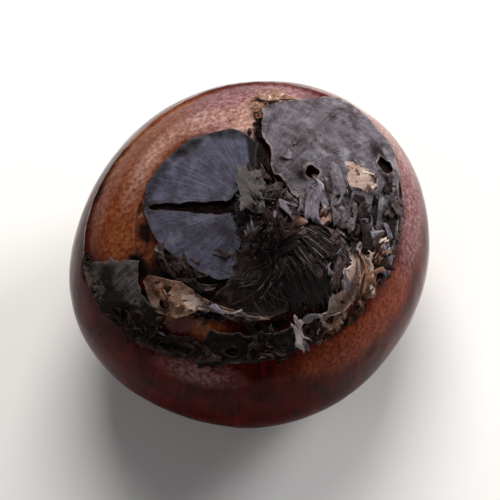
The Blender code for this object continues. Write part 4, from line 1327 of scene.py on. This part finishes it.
# %% Crumbs of soil
def soil_recipe():
    """Dry dark soil."""
    mix = Recipe("dry_soil")
    grain = mix.between(mix.noise(0.12 * MM, detail=3.0), 0.4, 0.65)
    return mix.serve(mix.blend(grain, (26, 18, 14), (66, 50, 40)), 0.9, specular_ior_level=0.1)


def scatter_crumbs(name, rows, seed):
    """Crumbs from rows of azimuth, polar, reach round, reach down, count, radius and lift."""
    draw = np.random.default_rng(seed)
    ball = bmesh.new()
    bmesh.ops.create_icosphere(ball, subdivisions=1, radius=1.0)
    corners = np.array([vertex.co[:] for vertex in ball.verts])
    faces = np.array([[vertex.index for vertex in face.verts] for face in ball.faces])
    ball.free()
    (azimuth, polar, round_, down, _, radius, lift), count = repeat_rows(rows, 4)
    azimuth = azimuth + round_ * draw.normal(0.0, SCATTER, count)
    polar = polar + down * draw.normal(0.0, SCATTER, count)
    smooth = skin(azimuth, polar)
    humped = np.where(polar < 90.0, 0.9 * mound(smooth[:, 0], smooth[:, 1]), 0.0)
    middle = skin(azimuth, polar, lift * MM + humped + relief(smooth))
    size = (radius * MM * np.exp(draw.normal(0.0, 0.45, count)))[:, None, None]
    dents = draw.normal(0.0, 1.0, (count, len(corners), 1)).clip(-1.5, 1.5)
    shape = corners[None] * (1.0 + 0.35 * dents)
    places = middle[:, None, :] + size * shape * draw.uniform(0.6, 1.2, (count, 1, 3))
    faces = (faces[None] + len(corners) * np.arange(count)[:, None, None]).reshape(-1, 3)
    soil = put_mesh(name, places, faces, soil_recipe())
    print(f"{name}: {count} crumbs, {triangles_of(soil)} triangles")


scatter_crumbs("soil_crumbs", (
    (250, 51, 34, 2.5, 80, 0.13, 0.08), (330, 51, 26, 2.5, 40, 0.12, 0.08),
    (226, 46, 10, 5, 30, 0.13, 0.4), (300, 40, 14, 4, 24, 0.12, 0.3),
    (88, 28, 2, 9, 24, 0.12, 0.15), (180, 134, 200, 2, 90, 0.11, 0.03),
    (0, 142, 200, 2, 40, 0.1, 0.02),
), 71)

# %% [markdown]
# Below the belly ring a few roots once left the corm. Their broken stubs are threads too, but
# short and brown, and they point all ways.

# %% Stubs of roots
stub_draw = np.random.default_rng(73)
stub_starts = stub_draw.uniform(0.0, 360.0, 90), stub_draw.normal(142.0, 3.0, 90)
fray("root_stubs", stub_starts, (0.4, 1.1), (0.12, 0.30), 74, (0.02, 0.10), 1.6, 0.25, 0.2, 5,
     TAN_FIBRE, "torn_edge")

# %% [markdown]
# ## Floor, light and camera
# The corm stands on a plain pale floor. A large soft light hangs high behind it. A second one
# behind on the right draws the bright rim along the glossy skin, and a weak one fills in from
# the front left. The camera looks down from 70 degrees with a long lens, so that the outline
# is nearly that of a plan.

# %% Floor
def make_floor(reach=1.2):
    """A plain pale plane just under the flat spot."""
    mesh = bpy.data.meshes.new("floor")
    corners = [(x * reach, y * reach, 0.0) for x, y in ((-1, -1), (1, -1), (1, 1), (-1, 1))]
    mesh.from_pydata(corners, [], [(0, 1, 2, 3)])
    mix = Recipe("pale_floor")
    cloud = mix.noise(0.3, detail=2.0)
    mesh.materials.append(mix.serve(mix.blend(cloud, (226, 223, 219), (232, 229, 226)), 0.7))
    floor = bpy.data.objects.new("floor", mesh)
    bpy.context.scene.collection.objects.link(floor)


make_floor()


# %% Lights and camera
def aim(thing, place, target):
    """Puts a light or camera at a place and points it at a target."""
    thing.location = place
    thing.rotation_euler = (Vector(target) - Vector(place)).to_track_quat("-Z", "Y").to_euler()
    bpy.context.scene.collection.objects.link(thing)


def soft_light(name, place, size, watts, colour=(1.0, 1.0, 1.0)):
    """A square soft box that faces the corm."""
    lamp = bpy.data.lights.new(name, "AREA")
    lamp.size, lamp.energy, lamp.color = size, watts, colour
    aim(bpy.data.objects.new(name, lamp), place, (0.0, 0.0, 0.012))


soft_light("key_light", (0.0, 0.30, 0.36), 0.28, 2.5, (1.0, 0.985, 0.97))
soft_light("rim_light", (0.34, 0.24, 0.18), 0.16, 1.9, (0.97, 0.98, 1.0))
soft_light("fill_light", (-0.24, -0.20, 0.34), 0.30, 0.30)

world = bpy.data.worlds.new("studio")
world.use_nodes = True
sky = world.node_tree.nodes["Background"].inputs
sky["Color"].default_value, sky["Strength"].default_value = (0.9, 0.93, 1.0, 1.0), 0.10
bpy.context.scene.world = world
bpy.context.scene.view_settings.view_transform = "Standard"

ELEVATION, LENS, SENSOR, FRAME_SHARE = math.radians(70.0), 300.0, 36.0, 0.72
low, high = (Vector(corner) for corner in solid_box)
middle = (low + high) / 2.0 + Vector((0.0, 0.0, -0.0015))
distance = (high.x - low.x) / FRAME_SHARE * LENS / SENSOR
camera = bpy.data.objects.new("camera", bpy.data.cameras.new("camera"))
camera.data.lens, camera.data.sensor_width, camera.data.clip_start = LENS, SENSOR, 0.01
away = Vector((0.0, -math.cos(ELEVATION), math.sin(ELEVATION)))
aim(camera, middle + distance * away, middle)
bpy.context.scene.camera = camera
print("camera", round(distance, 3), "m away")

# %% [markdown]
# ## Finish
# Last, the scene is brought up to date. The dressed corm has to stay inside the box of its
# solids.

# %% Finish
bpy.context.view_layer.update()
